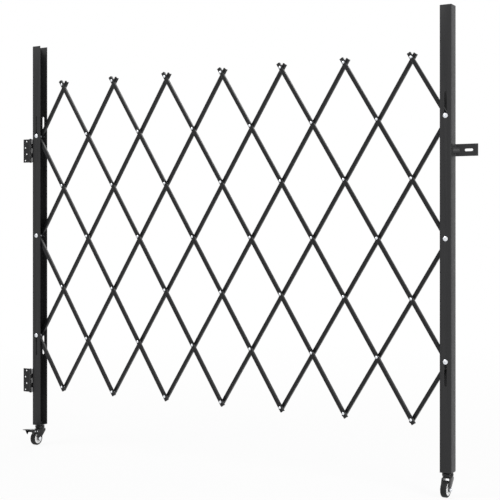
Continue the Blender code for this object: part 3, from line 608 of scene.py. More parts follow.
def channel_outline(face, depth, wall, bend, steps):
    """Section of a folded channel. The web lies along the first axis and the lips point along the second."""
    half = face / 2
    inner = half - wall
    outline = [(-half, depth)]
    outline += arc((bend - half, bend), bend, 180, 270, steps)
    outline += arc((half - bend, bend), bend, 270, 360, steps)
    outline += [(half, depth), (inner, depth)]
    outline += arc((half - bend, bend), bend - wall, 360, 270, steps)
    outline += arc((bend - half, bend), bend - wall, 270, 180, steps)
    outline.append((-inner, depth))
    return outline


def dome(radius, height, rim, steps):
    """Radius and height pairs of a domed head, from its crown down to its rim at height 0."""
    rise = height - rim
    ball = (radius * radius + rise * rise) / (2 * rise)
    widest = math.asin(radius / ball)
    pairs = []
    for i in range(steps):
        angle = widest * (i + 1) / steps
        pairs.append((ball * math.sin(angle), height - ball * (1 - math.cos(angle))))
    return pairs + [(radius, 0)]


def both_ways(half, way=1):
    """Half a profile, then its mirror image across height 0. It starts high, or low where way is -1."""
    start = [(radius, way * height) for radius, height in half]
    return start + [(radius, -height) for radius, height in reversed(start)]


# Closed shapes, each added to the mesh that is being built
def skin(mesh, rings, closed=False):
    """Skins a row of equal rings. The ends are capped, or joined when closed."""
    rows = [[mesh.verts.new(point) for point in ring] for ring in rings]
    count = len(rows[0])
    pairs = list(zip(rows, rows[1:]))
    if closed:
        pairs.append((rows[-1], rows[0]))
    for first, second in pairs:
        for i in range(count):
            j = (i + 1) % count
            mesh.faces.new((first[i], first[j], second[j], second[i]))
    if not closed:
        mesh.faces.new(list(reversed(rows[0])))
        mesh.faces.new(rows[-1])


def axis_point(axis, height, first, second):
    """Point at a height along an axis and two distances along the other axes, in XYZ order."""
    points = {"X": (height, first, second), "Y": (first, height, second), "Z": (first, second, height)}
    return Vector(points[axis])


def revolve(mesh, profile, centre, sides, axis, hollow=False):
    """Turns a profile of radius and height pairs round an axis through the centre."""
    rings = []
    for radius, height in profile:
        ring = []
        for i in range(sides):
            angle = 2 * math.pi * (i + 0.5) / sides
            across = axis_point(axis, height, radius * math.cos(angle), radius * math.sin(angle))
            ring.append(centre + across)
        rings.append(ring)
    skin(mesh, rings, hollow)


def extrude(mesh, outline, axis, low, high, centre=Vector()):
    """Extrudes an outline along an axis."""
    rings = [[centre + axis_point(axis, height, a, b) for a, b in outline] for height in (low, high)]
    skin(mesh, rings)


def drill(mesh, radius, low, high, centre, axis, sides=RIVET_SIDES):
    """Straight round cutter from one height to another along an axis."""
    revolve(mesh, ((radius, low), (radius, high)), centre, sides, axis)


def raw_object(name, mesh):
    """Object whose mesh is in the frame's axes, with its faces turned outwards."""
    bmesh.ops.recalc_face_normals(mesh, faces=mesh.faces)
    data = bpy.data.meshes.new(name)
    mesh.to_mesh(data)
    mesh.free()
    obj = bpy.data.objects.new(name, data)
    bpy.context.scene.collection.objects.link(obj)
    return obj


def apply_modifiers(obj):
    graph = bpy.context.evaluated_depsgraph_get()
    shaped = bpy.data.meshes.new_from_object(obj.evaluated_get(graph))
    rough = obj.data
    obj.modifiers.clear()
    obj.data = shaped
    bpy.data.meshes.remove(rough)
    shaped.name = obj.name


def add_bevel(obj, width):
    bevel = obj.modifiers.new("edge_rounding", "BEVEL")
    bevel.width = width
    bevel.segments = EDGE_SEGMENTS
    bevel.limit_method = "ANGLE"
    bevel.angle_limit = EDGE_ANGLE
    bevel.use_clamp_overlap = False
    bevel.miter_outer = "MITER_ARC"


def shape_piece(name, mesh, steps=(), rounding=0.0, round_first=False):
    """Makes an object, joins, cuts or intersects it with helper meshes and rounds its edges."""
    obj = raw_object(name, mesh)
    if rounding and round_first:
        add_bevel(obj, rounding)
    helpers = []
    for operation, tool in steps:
        helper = raw_object(name + "_tool", tool)
        helpers.append(helper)
        boolean = obj.modifiers.new(operation.lower(), "BOOLEAN")
        boolean.operation = operation
        boolean.solver = "EXACT"
        boolean.object = helper
    if rounding and not round_first:
        add_bevel(obj, rounding)
    if obj.modifiers:
        apply_modifiers(obj)
    for helper in helpers:
        tool_data = helper.data
        bpy.data.objects.remove(helper)
        bpy.data.meshes.remove(tool_data)
    return obj


def turned_piece(name, profile, sides, axis, hollow=False):
    """Piece turned round an axis through its own origin."""
    mesh = bmesh.new()
    revolve(mesh, profile, Vector(), sides, axis, hollow)
    return shape_piece(name, mesh)


def mount_piece(obj, body, nodes):
    """Gives a piece its body and the solids that it stands for."""
    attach(obj, body)
    if nodes:
        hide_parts(*nodes)
    return obj


def finish_piece(obj, material, body, nodes=()):
    """Gives a piece its finish and its smooth shading, and mounts it."""
    obj.data.materials.clear()
    obj.data.materials.append(material)
    obj.data.shade_smooth()
    obj.data.set_sharp_from_angle(angle=SMOOTH_ANGLE)
    return mount_piece(obj, body, nodes)


def copy_piece(source, name, place, body, nodes=()):
    """Another piece with the same mesh, at its own place."""
    obj = bpy.data.objects.new(name, source.data)
    bpy.context.scene.collection.objects.link(obj)
    obj.location = place
    return mount_piece(obj, body, nodes)


def first_or_copy(pieces, key, build, name, place, body, material, nodes=()):
    """Builds a repeated piece the first time and copies it after that."""
    if key in pieces:
        return copy_piece(pieces[key], name, place, body, nodes)
    obj = build(name)
    obj.location = place
    pieces[key] = obj
    return finish_piece(obj, material, body, nodes)


# Lattice bars, rivets and sleeves
def bar_runs():
    """Start joint and number of steps of each front bar and each back bar, from left to right."""
    front = [(0, row) for row in range(1, ROWS, 2)]
    front += [(column, ROWS) for column in range(1, COLUMNS, 2)]
    back = [(0, row) for row in range(ROWS - 1, 0, -2)]
    back += [(column, 0) for column in range(1, COLUMNS, 2)]
    front_runs = [(start, min(COLUMNS - start[0], start[1])) for start in front]
    back_runs = [(start, min(COLUMNS - start[0], ROWS - start[1])) for start in back]
    return front_runs, back_runs


def make_bar(kind, number, run, rise, face):
    """Folded channel bar, drilled for its rivets and bolts."""
    start, steps = run
    joints = [(start[0] + step, start[1] + rise * step) for step in range(steps + 1)]
    first = joint_point(*joints[0])
    last = joint_point(*joints[-1])
    along = (last - first).normalized()
    across = Vector((along.z, 0, -along.x))
    outline = channel_outline(BAR_FACE, BAR_DEPTH, BAR_WALL, BAR_BEND, BEND_STEPS)
    rings = []
    for end in (first - along * BAR_TAIL, last + along * BAR_TAIL):
        rings.append([end + across * side + Vector((0, face + depth, 0)) for side, depth in outline])
    mesh = bmesh.new()
    skin(mesh, rings)
    holes = bmesh.new()
    for joint in joints:
        radius = BOLT_SLEEVE_RADIUS + SEAM if joint[0] in (0, COLUMNS) else RIVET_HOLE_RADIUS
        drill(holes, radius, face - OVERRUN, face + BAR_WALL + OVERRUN, joint_point(*joint), "Y")
    name = f"{kind}_bar_{number:02d}"
    bar = shape_piece("lattice_" + name, mesh, [("DIFFERENCE", holes)], EDGE_ROUNDING, True)
    finish_piece(bar, BAR_COAT, name, [name])
    return joints


def build_rivet(name):
    """Rivet with a domed head in front, a spacer between the bars and a rolled tail behind."""
    crown = dome(RIVET_HEAD_RADIUS, RIVET_HEAD_HEIGHT, RIVET_RIM, RIVET_CROWN_STEPS)
    head = [(r, FRONT_BAR_FACE - SEAM - h) for r, h in crown]
    web_back = FRONT_BAR_FACE + BAR_WALL + SEAM
    tail = BACK_BAR_FACE + BAR_WALL + SEAM
    profile = head + [
        (RIVET_RADIUS, FRONT_BAR_FACE - SEAM),
        (RIVET_RADIUS, web_back),
        (RIVET_SPACER_RADIUS, web_back),
        (RIVET_SPACER_RADIUS, BACK_BAR_FACE - SEAM),
        (RIVET_RADIUS, BACK_BAR_FACE - SEAM),
        (RIVET_RADIUS, tail),
        (RIVET_TAIL_RADIUS, tail),
        (RIVET_TAIL_RADIUS, tail + RIVET_TAIL_HEIGHT / 2),
        ((RIVET_TAIL_RADIUS + RIVET_DIMPLE_RADIUS) / 2, tail + RIVET_TAIL_HEIGHT),
        (RIVET_DIMPLE_RADIUS, tail + RIVET_TAIL_HEIGHT * 3 / 4),
        (RIVET_DIMPLE_RADIUS / 2, tail + RIVET_TAIL_HEIGHT / 4),
    ]
    return turned_piece(name, profile, RIVET_SIDES, "Y")


def build_sleeve(front):
    """Builder of the spacer tube round a post bolt, through the end of a front bar or a back bar."""
    low = POST_FRONT + POST_WALL + SEAM if front else BACK_BAR_FACE
    high = BACK_BAR_FACE - SEAM if front else POST_BACK - POST_WALL - SEAM
    outer = BOLT_SLEEVE_RADIUS
    inner = BOLT_HOLE_RADIUS
    profile = [(inner, low), (outer, low), (outer, high), (inner, high)]

    def build(name):
        return turned_piece(name, profile, BOLT_SIDES, "Y", hollow=True)

    return build


def make_lattice(pieces):
    front_runs, back_runs = bar_runs()
    for kind, runs, rise, face in (
        ("front", front_runs, -1, FRONT_BAR_FACE),
        ("back", back_runs, 1, BACK_BAR_FACE),
    ):
        for number, run in enumerate(runs, 1):
            joints = make_bar(kind, number, run, rise, face)
            body = f"{kind}_bar_{number:02d}"
            for column, row in joints:
                place = joint_point(column, row)
                tag = f"{column:02d}_{row}"
                if column in (0, COLUMNS):
                    build = build_sleeve(kind == "front")
                    name = f"sleeve_{kind}_{tag}"
                    first_or_copy(pieces, "sleeve_" + kind, build, name, place, body, DULL_ZINC)
                elif kind == "front":
                    first_or_copy(pieces, "rivet", build_rivet, "rivet_" + tag, place, body, BRIGHT_ZINC)


# Posts, foot plates, bolts and nuts
def make_post(name, column, side):
    """Folded channel post, open towards the lattice, slotted for the bolts that slide."""
    outline = channel_outline(POST_DEPTH, POST_FACE, POST_WALL, POST_BEND, SHEET_BEND_STEPS)
    web = MIDDLE_X + side * GATE_WIDTH / 2
    mesh = bmesh.new()
    section = [(web - side * depth, MIDDLE_Y + across) for across, depth in outline]
    extrude(mesh, section, "Z", POST_BOTTOM, POST_TOP)
    cuts = bmesh.new()
    axis = joint_point(column, DIAMONDS_HIGH)
    ends = (MIDDLE_Y + POST_FRONT - OVERRUN, MIDDLE_Y + POST_BACK + OVERRUN)
    extrude(cuts, circle((axis.x, axis.z), BOLT_HOLE_RADIUS, BOLT_SIDES), "Y", *ends)
    reach = SLOT_TRAVEL / 2
    for rise in (DIAMOND_HEIGHT + reach, -DIAMOND_HEIGHT - reach):
        extrude(cuts, slot_outline((axis.x, axis.z + rise), BOLT_HOLE_RADIUS, 0, reach), "Y", *ends)
    post = shape_piece("channel_" + name, mesh, [("DIFFERENCE", cuts)], EDGE_ROUNDING)
    finish_piece(post, POWDER_COAT, name, [name])


def make_foot_plate(side_name, side):
    """Plate welded inside the foot of a post, drilled for the caster stem."""
    web = MIDDLE_X + side * (GATE_WIDTH / 2 - POST_WALL - SEAM)
    lip = MIDDLE_X + side * (GATE_WIDTH / 2 - POST_FACE)
    half = POST_DEPTH / 2 - POST_WALL - SEAM
    low = (min(web, lip), MIDDLE_Y - half)
    high = (max(web, lip), MIDDLE_Y + half)
    stem = Vector((MIDDLE_X + side * CASTER_X, MIDDLE_Y, POST_BOTTOM))
    mesh = bmesh.new()
    outline = rounded_rectangle(low, high, FOOT_PLATE_CORNER)
    extrude(mesh, outline, "Z", POST_BOTTOM, POST_BOTTOM + FOOT_PLATE_THICKNESS)
    hole = bmesh.new()
    drill(hole, STEM_HOLE_RADIUS, -OVERRUN, FOOT_PLATE_THICKNESS + OVERRUN, stem, "Z", BOLT_SIDES)
    plate = shape_piece("welded_foot_plate_" + side_name, mesh, [("DIFFERENCE", hole)], EDGE_ROUNDING)
    finish_piece(plate, POWDER_COAT, "post_" + side_name, ["foot_plate_" + side_name])
    for edge, offset in (("front", -half), ("back", half)):
        make_weld(f"foot_weld_{side_name}_{edge}", web, lip, offset, "post_" + side_name)


def make_weld(name, start, end, offset, body):
    """Rippled weld bead along one edge of a foot plate, under the coat."""
    last = WELD_RIPPLES * 2
    reach = abs(end - start)
    direction = 1 if end > start else -1
    inset = FOOT_PLATE_CORNER + WELD_RADIUS
    rings = []
    for i in range(last + 1):
        travel = inset + (reach - 2 * inset) * i / last
        swell = 1.0 if i % 2 else WELD_TROUGH
        if i in (0, last):
            swell = WELD_END
        x = start + direction * travel
        centre = Vector((x, MIDDLE_Y + offset, POST_BOTTOM + FOOT_PLATE_THICKNESS))
        outline = circle((0, 0), WELD_RADIUS * swell, WELD_SIDES)
        rings.append([centre + Vector((0, a, b)) for a, b in outline])
    mesh = bmesh.new()
    skin(mesh, rings)
    finish_piece(shape_piece(name, mesh), POWDER_COAT, body)


def threaded_end(radius, low, end, lead, taper):
    """Crests and roots of a thread as radius and height pairs, going up to its tapered end."""
    pairs = []
    for turn in range(int((end - lead - low) / THREAD_PITCH)):
        base = low + turn * THREAD_PITCH
        pairs += [(radius, base + THREAD_PITCH * share) for share in THREAD_CREST]
        pairs.append((radius - THREAD_DEPTH, base + THREAD_PITCH * THREAD_ROOT))
    return pairs + [(radius - THREAD_DEPTH, end - lead), (radius - taper, end)]


def build_bolt(name):
    """Pan head bolt with a cross recess and a threaded end."""
    face = POST_FRONT - SEAM
    nut = POST_BACK + SEAM
    end = nut + BOLT_NUT_HEIGHT + BOLT_END
    crown = dome(BOLT_HEAD_RADIUS, BOLT_HEAD_HEIGHT, BOLT_RIM, BOLT_CROWN_STEPS)
    profile = [(r, face - h) for r, h in crown] + [(BOLT_RADIUS, face), (BOLT_RADIUS, nut - OVERRUN)]
    profile += threaded_end(BOLT_RADIUS, nut - OVERRUN, end, THREAD_PITCH / 2, 2 * THREAD_DEPTH)
    mesh = bmesh.new()
    revolve(mesh, profile, Vector(), BOLT_SIDES, "Y")
    cross = bmesh.new()
    wide = CROSS_HALF_WIDTH
    far = CROSS_REACH
    plus = [(far, -wide), (far, wide), (wide, wide), (wide, far), (-wide, far), (-wide, wide)]
    plus += [(-far, wide), (-far, -wide), (-wide, -wide), (-wide, -far), (wide, -far), (wide, -wide)]
    top = face - BOLT_HEAD_HEIGHT - OVERRUN
    floor = face - BOLT_HEAD_HEIGHT + CROSS_DEPTH
    rings = [[Vector((a, top, b)) for a, b in plus], [Vector((a / 2, floor, b / 2)) for a, b in plus]]
    skin(cross, rings)
    return shape_piece(name, mesh, [("DIFFERENCE", cross)])


def build_hex_nut(radius, screw_radius, low, thickness, axis):
    """Builder of a hexagonal nut with chamfers on both faces and in the mouths of its bore."""
    flat = radius * math.cos(math.pi / 6)
    chamfer = (radius - flat) / math.sqrt(3)
    lead = (radius - flat) / 2
    high = low + thickness
    bore = screw_radius + SEAM
    outside = ((low, flat), (low + chamfer, radius), (high - chamfer, radius), (high, flat))
    inside = ((high, bore + lead), (high - lead, bore), (low + lead, bore), (low, bore + lead))

    def build(name):
        rings = []
        for height, limit in outside + inside:
            ring = []
            for i in range(NUT_SIDES):
                angle = 2 * math.pi * i / NUT_SIDES
                turn = (angle + math.pi / 6) % (math.pi / 3) - math.pi / 6
                reach = min(flat / math.cos(turn), limit)
                ring.append(axis_point(axis, height, reach * math.cos(angle), reach * math.sin(angle)))
            rings.append(ring)
        mesh = bmesh.new()
        skin(mesh, rings, closed=True)
        return shape_piece(name, mesh)

    return build


def make_post_bolts(pieces):
    bodies = {
        "left_bottom": "front_bar_01",
        "left_middle": "post_left",
        "left_top": "back_bar_01",
        "right_bottom": "back_bar_10",
        "right_middle": "post_right",
        "right_top": "front_bar_10",
    }
    build_nut = build_hex_nut(BOLT_NUT_RADIUS, BOLT_RADIUS, POST_BACK + SEAM, BOLT_NUT_HEIGHT, "Y")
    for side, column in (("left", 0), ("right", COLUMNS)):
        for level, row in (("bottom", 1), ("middle", DIAMONDS_HIGH), ("top", ROWS - 1)):
            tag = side + "_" + level
            place = joint_point(column, row)
            body = bodies[tag]
            bolt = "pan_bolt_" + tag
            nut = "hex_nut_" + tag
            first_or_copy(pieces, "bolt", build_bolt, bolt, place, body, BRIGHT_ZINC, ["bolt_" + tag])
            first_or_copy(pieces, "nut", build_nut, nut, place, body, DULL_ZINC, ["nut_" + tag])


# Hinges
def knuckle_span(number):
    """Lowest and highest point of a knuckle, measured from the middle of the hinge."""
    pitch = HINGE_HEIGHT / HINGE_KNUCKLES
    half_gap = HINGE_KNUCKLE_GAP / 2
    low = -HINGE_HEIGHT / 2 + pitch * number + (half_gap if number else 0)
    high = -HINGE_HEIGHT / 2 + pitch * (number + 1) - (half_gap if number + 1 < HINGE_KNUCKLES else 0)
    return low, high


def build_hinge_leaf(first_knuckle, turn):
    """Builder of a leaf that reaches along -X from the pin, with curled knuckles, turned about the pin."""

    def build(name):
        back = HINGE_BARREL_RADIUS
        front = back - HINGE_LEAF_THICKNESS
        root = -HINGE_BARREL_RADIUS - HINGE_KNUCKLE_GAP
        mesh = bmesh.new()
        low = (-HINGE_LEAF_WIDTH, -HINGE_HEIGHT / 2)
        plate = rounded_rectangle(low, (root, HINGE_HEIGHT / 2), HINGE_CORNER)
        extrude(mesh, plate, "Y", front, back)
        turns = (HINGE_CURL_START, HINGE_CURL_END)
        curl = [(root - OVERRUN, back), *arc((0, 0), HINGE_BARREL_RADIUS, *turns, HINGE_CURL_STEPS)]
        curl += arc((0, 0), HINGE_BORE_RADIUS, *reversed(turns), HINGE_CURL_STEPS)
        curl.append((root - OVERRUN, front))
        knuckles = bmesh.new()
        for number in range(first_knuckle, HINGE_KNUCKLES, 2):
            extrude(knuckles, curl, "Z", *knuckle_span(number))
        holes = bmesh.new()
        middle = (len(HINGE_HOLE_EDGES) - 1) / 2
        sink = HINGE_SINK_RADIUS - HINGE_HOLE_RADIUS
        screw_hole = (
            (HINGE_SINK_RADIUS + OVERRUN, front - OVERRUN),
            (HINGE_HOLE_RADIUS, front + sink),
            (HINGE_HOLE_RADIUS, back + OVERRUN),
        )
        for number, edge in enumerate(HINGE_HOLE_EDGES):
            place = Vector((edge - HINGE_LEAF_WIDTH, 0, (middle - number) * HINGE_HOLE_PITCH))
            revolve(holes, screw_hole, place, RIVET_SIDES, "Y")
        leaf = shape_piece(name, mesh, [("UNION", knuckles), ("DIFFERENCE", holes)], EDGE_ROUNDING / 2)
        leaf.rotation_euler = (0, 0, turn)
        return leaf

    return build


def build_hinge_pin(name):
    """Loose pin with a domed head at each end."""
    end = HINGE_HEIGHT / 2 + SEAM
    rim = HINGE_PIN_HEAD_HEIGHT / 4
    head = dome(HINGE_PIN_HEAD_RADIUS, HINGE_PIN_HEAD_HEIGHT, rim, HINGE_PIN_CROWN_STEPS)
    half = [(r, end + h) for r, h in head] + [(HINGE_PIN_RADIUS, end)]
    return turned_piece(name, both_ways(half), RIVET_SIDES, "Z")


def make_hinges(pieces):
    x = LEFT_LOW.x - HINGE_BARREL_RADIUS - HINGE_KNUCKLE_GAP
    y = MIDDLE_Y + POST_FRONT - HINGE_BARREL_RADIUS + HINGE_KNUCKLE_GAP
    for level, rise in (("top", TOP_HINGE_RISE), ("bottom", -BOTTOM_HINGE_DROP)):
        place = Vector((x, y, MIDDLE_Z + rise))
        node = "hinge_" + level
        fixed = (
            ("wall_leaf", build_hinge_leaf(0, 0), "wall_leaf_", GLOSS_PAINT, "_wall_leaf"),
            ("pin", build_hinge_pin, "hinge_pin_", BLACK_ZINC, "_pin"),
        )
        for key, build, label, material, end in fixed:
            first_or_copy(pieces, key, build, label + level, place, "wall_leaves", material, [node + end])
        leaf = build_hinge_leaf(1, -math.pi / 2)("post_leaf_" + level)
        leaf.location = place
        finish_piece(leaf, GLOSS_PAINT, "post_left", [node + "_post_leaf"])


# Lock plate
def make_lock_plate():
    """Bent plate with a pressed rib across its bend and a slot for the staple."""
    place = Vector((RIGHT_HIGH.x, MIDDLE_Y + POST_FRONT, MIDDLE_Z + LOCK_RISE))
    near = SEAM
    far = near + LOCK_THICKNESS
    bend = (far + LOCK_BEND_RADIUS, LOCK_FACE_SETBACK - LOCK_BEND_RADIUS)
    outer_face = LOCK_FACE_SETBACK + LOCK_THICKNESS
    outline = [(near, LOCK_FLANGE_SETBACK), (far, LOCK_FLANGE_SETBACK)]
    outline += arc(bend, LOCK_BEND_RADIUS, 180, 90, LOCK_BEND_STEPS)
    outline += [(LOCK_REACH, LOCK_FACE_SETBACK), (LOCK_REACH, outer_face)]
    outline += arc(bend, LOCK_BEND_RADIUS + LOCK_THICKNESS, 90, 180, LOCK_BEND_STEPS)
    mesh = bmesh.new()
    extrude(mesh, outline, "Z", -LOCK_HEIGHT / 2, LOCK_HEIGHT / 2, place)
    rib = bmesh.new()
    rings = []
    inset = LOCK_THICKNESS / 3
    corner = Vector((far - inset, LOCK_FACE_SETBACK + inset, 0))
    shares = [i / BEND_STEPS for i in range(BEND_STEPS + 1)]
    for step in range(LOCK_RIB_STEPS + 1):
        angle = math.radians(LOCK_RIB_SWEEP * (2 * step / LOCK_RIB_STEPS - 1))
        leg = LOCK_RIB_LEG * math.sqrt(math.cos(angle)) + inset
        rise = LOCK_RIB_HALF_HEIGHT * math.sin(angle)
        crest = [(leg * (1 - t) ** LOCK_RIB_BULGE, -leg * t**LOCK_RIB_BULGE) for t in shares]
        rings.append([place + corner + Vector((a, b, rise)) for a, b in [(0, 0)] + crest])
    skin(rib, rings)
    slot = bmesh.new()
    radius = LOCK_SLOT_WIDTH / 2
    centre = (LOCK_REACH - LOCK_SLOT_END - LOCK_SLOT_LENGTH / 2, 0)
    hole = slot_outline(centre, radius, LOCK_SLOT_LENGTH / 2 - radius, 0)
    extrude(slot, hole, "Y", LOCK_FACE_SETBACK - OVERRUN, outer_face + OVERRUN, place)
    steps = [("UNION", rib), ("DIFFERENCE", slot)]
    plate = shape_piece("bent_lock_plate", mesh, steps, EDGE_ROUNDING)
    finish_piece(plate, POWDER_COAT, "post_right", ["lock_plate"])


# Casters
def build_stem(name):
    """Threaded stem with a collar, standing on the swivel head."""
    top = -HOUSING_GAP
    profile = [
        (STEM_RADIUS, top - HOUSING_HEIGHT / 2),
        (STEM_RADIUS, top + SEAM),
        (COLLAR_RADIUS, top + SEAM),
        (COLLAR_RADIUS, -RACE_GAP),
        (STEM_RADIUS, -RACE_GAP),
        (STEM_RADIUS, FOOT_PLATE_THICKNESS),
    ]
    profile += threaded_end(STEM_RADIUS, FOOT_PLATE_THICKNESS, STEM_REACH, THREAD_PITCH, 3 * THREAD_DEPTH)
    return turned_piece(name, profile, BOLT_SIDES, "Z")


def build_swivel_head(name):
    """Pressed round head over the ball race, with the king pin below."""
    top = -HOUSING_GAP
    bottom = top - HOUSING_HEIGHT
    pin_end = FORK_UNDERSIDE - CASTER_DROP - RACE_GAP
    shoulder = HOUSING_SHOULDER
    core = KING_PIN_RADIUS / 10
    profile = [(STEM_RADIUS + SEAM, top - HOUSING_HEIGHT / 2 - SEAM), (STEM_RADIUS + SEAM, top)]
    profile += arc((HOUSING_RADIUS - shoulder, top - shoulder), shoulder, 90, 0, SHEET_BEND_STEPS)
    profile += [
        (HOUSING_RADIUS, bottom),
        (KING_PIN_RADIUS, bottom),
        (KING_PIN_RADIUS, pin_end),
        (KING_PIN_HEAD_RADIUS, pin_end),
        (KING_PIN_HEAD_RADIUS, pin_end - KING_PIN_HEAD_HEIGHT / 2),
        (KING_PIN_HEAD_RADIUS / 2, pin_end - KING_PIN_HEAD_HEIGHT),
        (core, pin_end - KING_PIN_HEAD_HEIGHT),
        (core, top - HOUSING_HEIGHT / 2 - SEAM),
    ]
    return turned_piece(name, profile, BOLT_SIDES, "Z", hollow=True)


def fork_side(braked):
    """Side view of the fork, measured from the king pin axis and the floor."""
    length = FORK_HALF_LENGTH
    outline = [(-length, FORK_TOP + OVERRUN), (length, FORK_TOP + OVERRUN)]
    outline.append((length, FORK_UNDERSIDE - FORK_SHOULDER))
    wheel = (-CASTER_TRAIL, WHEEL_RADIUS)
    outline += arc(wheel, FORK_CHEEK_RADIUS, FORK_CHEEK_START, FORK_CHEEK_END, FORK_CHEEK_STEPS)
    if braked:
        front = EAR_CORNER - EAR_FRONT
        outline += arc((front, EAR_BOTTOM + EAR_CORNER), EAR_CORNER, -90, -180, EAR_CORNER_STEPS)
        outline += arc((front, EAR_TOP - EAR_CORNER), EAR_CORNER, 180, 90, EAR_CORNER_STEPS)
        outline.append((-length, EAR_TOP))
    return outline


def build_fork(braked):
    """Builder of a pressed fork with rounded shoulders and a raised ball race."""

    def build(name):
        outline = channel_outline(2 * FORK_HALF_WIDTH, FORK_TOP, FORK_SHEET, FORK_BEND, SHEET_BEND_STEPS)
        section = [(across, FORK_TOP - depth) for across, depth in outline]
        mesh = bmesh.new()
        extrude(mesh, section, "Y", -EAR_FRONT - OVERRUN, FORK_HALF_LENGTH + OVERRUN)
        reach = FORK_HALF_WIDTH + OVERRUN
        side = bmesh.new()
        extrude(side, fork_side(braked), "X", -reach, reach)
        race = bmesh.new()
        lip = RACE_HEIGHT / 4
        ring = [
            (RACE_RADIUS - lip, FORK_TOP - FORK_SHEET / 2),
            (RACE_RADIUS - lip, FORK_TOP + lip),
            (RACE_RADIUS, FORK_TOP + 2 * lip),
            (RACE_RADIUS, FORK_TOP + RACE_HEIGHT),
        ]
        revolve(race, ring, Vector(), BOLT_SIDES, "Z")
        holes = bmesh.new()
        drill(holes, KING_PIN_HOLE_RADIUS, FORK_UNDERSIDE - OVERRUN, CASTER_DROP, Vector(), "Z")
        axle = Vector((0, -CASTER_TRAIL, WHEEL_RADIUS))
        drill(holes, AXLE_HOLE_RADIUS, -reach, reach, axle, "X")
        if braked:
            pin = Vector((0, -BRAKE_PIN_AHEAD, BRAKE_PIN_HEIGHT))
            drill(holes, BRAKE_PIN_HOLE_RADIUS, -reach, reach, pin, "X")
        steps = [("INTERSECT", side), ("UNION", race), ("DIFFERENCE", holes)]
        return shape_piece(name, mesh, steps, EDGE_ROUNDING)

    return build


def build_tyre(name):
    """Tyre with a rounded tread and a fine mould line round its middle."""
    wide = TYRE_HALF_WIDTH
    shoulder = TYRE_SHOULDER
    crown = WHEEL_RADIUS - MOULD_LINE / 2
    turns = (TYRE_SHOULDER_START, TYRE_SHOULDER_END, TYRE_SHOULDER_STEPS)
    half = [(TYRE_INNER_RADIUS, HUB_RIM_HALF_WIDTH), (TYRE_INNER_RADIUS + SEAM, wide - MOULD_LINE)]
    half += arc((WHEEL_RADIUS - shoulder, wide - shoulder), shoulder, *turns)
    half += [(crown, wide / 4), (crown, MOULD_LINE * 3 / 2), (WHEEL_RADIUS, MOULD_LINE)]
    return turned_piece(name, both_ways(half), TYRE_SIDES, "X", hollow=True)


def build_hub(name):
    """Moulded hub with a deep rim, a boss and ribs on its web."""
    half = [
        (HUB_BORE_RADIUS, HUB_BOSS_HALF_WIDTH),
        (HUB_BOSS_RADIUS - EDGE_ROUNDING, HUB_BOSS_HALF_WIDTH),
        (HUB_BOSS_RADIUS, HUB_BOSS_HALF_WIDTH - EDGE_ROUNDING),
        (HUB_BOSS_RADIUS, HUB_WEB_HALF_WIDTH),
        (HUB_RIM_RADIUS, HUB_WEB_HALF_WIDTH),
        (HUB_RIM_RADIUS, HUB_RIM_HALF_WIDTH - EDGE_ROUNDING),
        (HUB_RIM_RADIUS + EDGE_ROUNDING, HUB_RIM_HALF_WIDTH),
        (HUB_RADIUS, HUB_RIM_HALF_WIDTH),
    ]
    mesh = bmesh.new()
    revolve(mesh, both_ways(half), Vector(), HUB_SIDES, "X", hollow=True)
    ribs = bmesh.new()
    high = HUB_RIM_HALF_WIDTH - EDGE_ROUNDING * 4
    for i in range(HUB_RIBS):
        angle = 2 * math.pi * (i + 0.5) / HUB_RIBS
        out = Vector((0, math.cos(angle), math.sin(angle)))
        side = Vector((0, -math.sin(angle), math.cos(angle))) * HUB_RIB_HALF_WIDTH
        near = out * (HUB_BOSS_RADIUS - EDGE_ROUNDING)
        far = out * (HUB_RIM_RADIUS + EDGE_ROUNDING)
        outline = (near - side, far - side, far + side, near + side)
        skin(ribs, [[point + Vector((height, 0, 0)) for point in outline] for height in (-high, high)])
    return shape_piece(name, mesh, [("UNION", ribs)])


def build_axle(name):
    """Wheel bolt with a domed head and a threaded end."""
    face = FORK_HALF_WIDTH + SEAM
    end = face + AXLE_NUT_HEIGHT + AXLE_END
    crown = dome(AXLE_HEAD_RADIUS, AXLE_HEAD_HEIGHT, AXLE_HEAD_HEIGHT / 2, AXLE_CROWN_STEPS)
    profile = [(r, -face - h) for r, h in crown] + [(AXLE_RADIUS, -face), (AXLE_RADIUS, face)]
    profile += threaded_end(AXLE_RADIUS, face, end, THREAD_PITCH / 2, 2 * THREAD_DEPTH)
    return turned_piece(name, profile, BOLT_SIDES, "X")


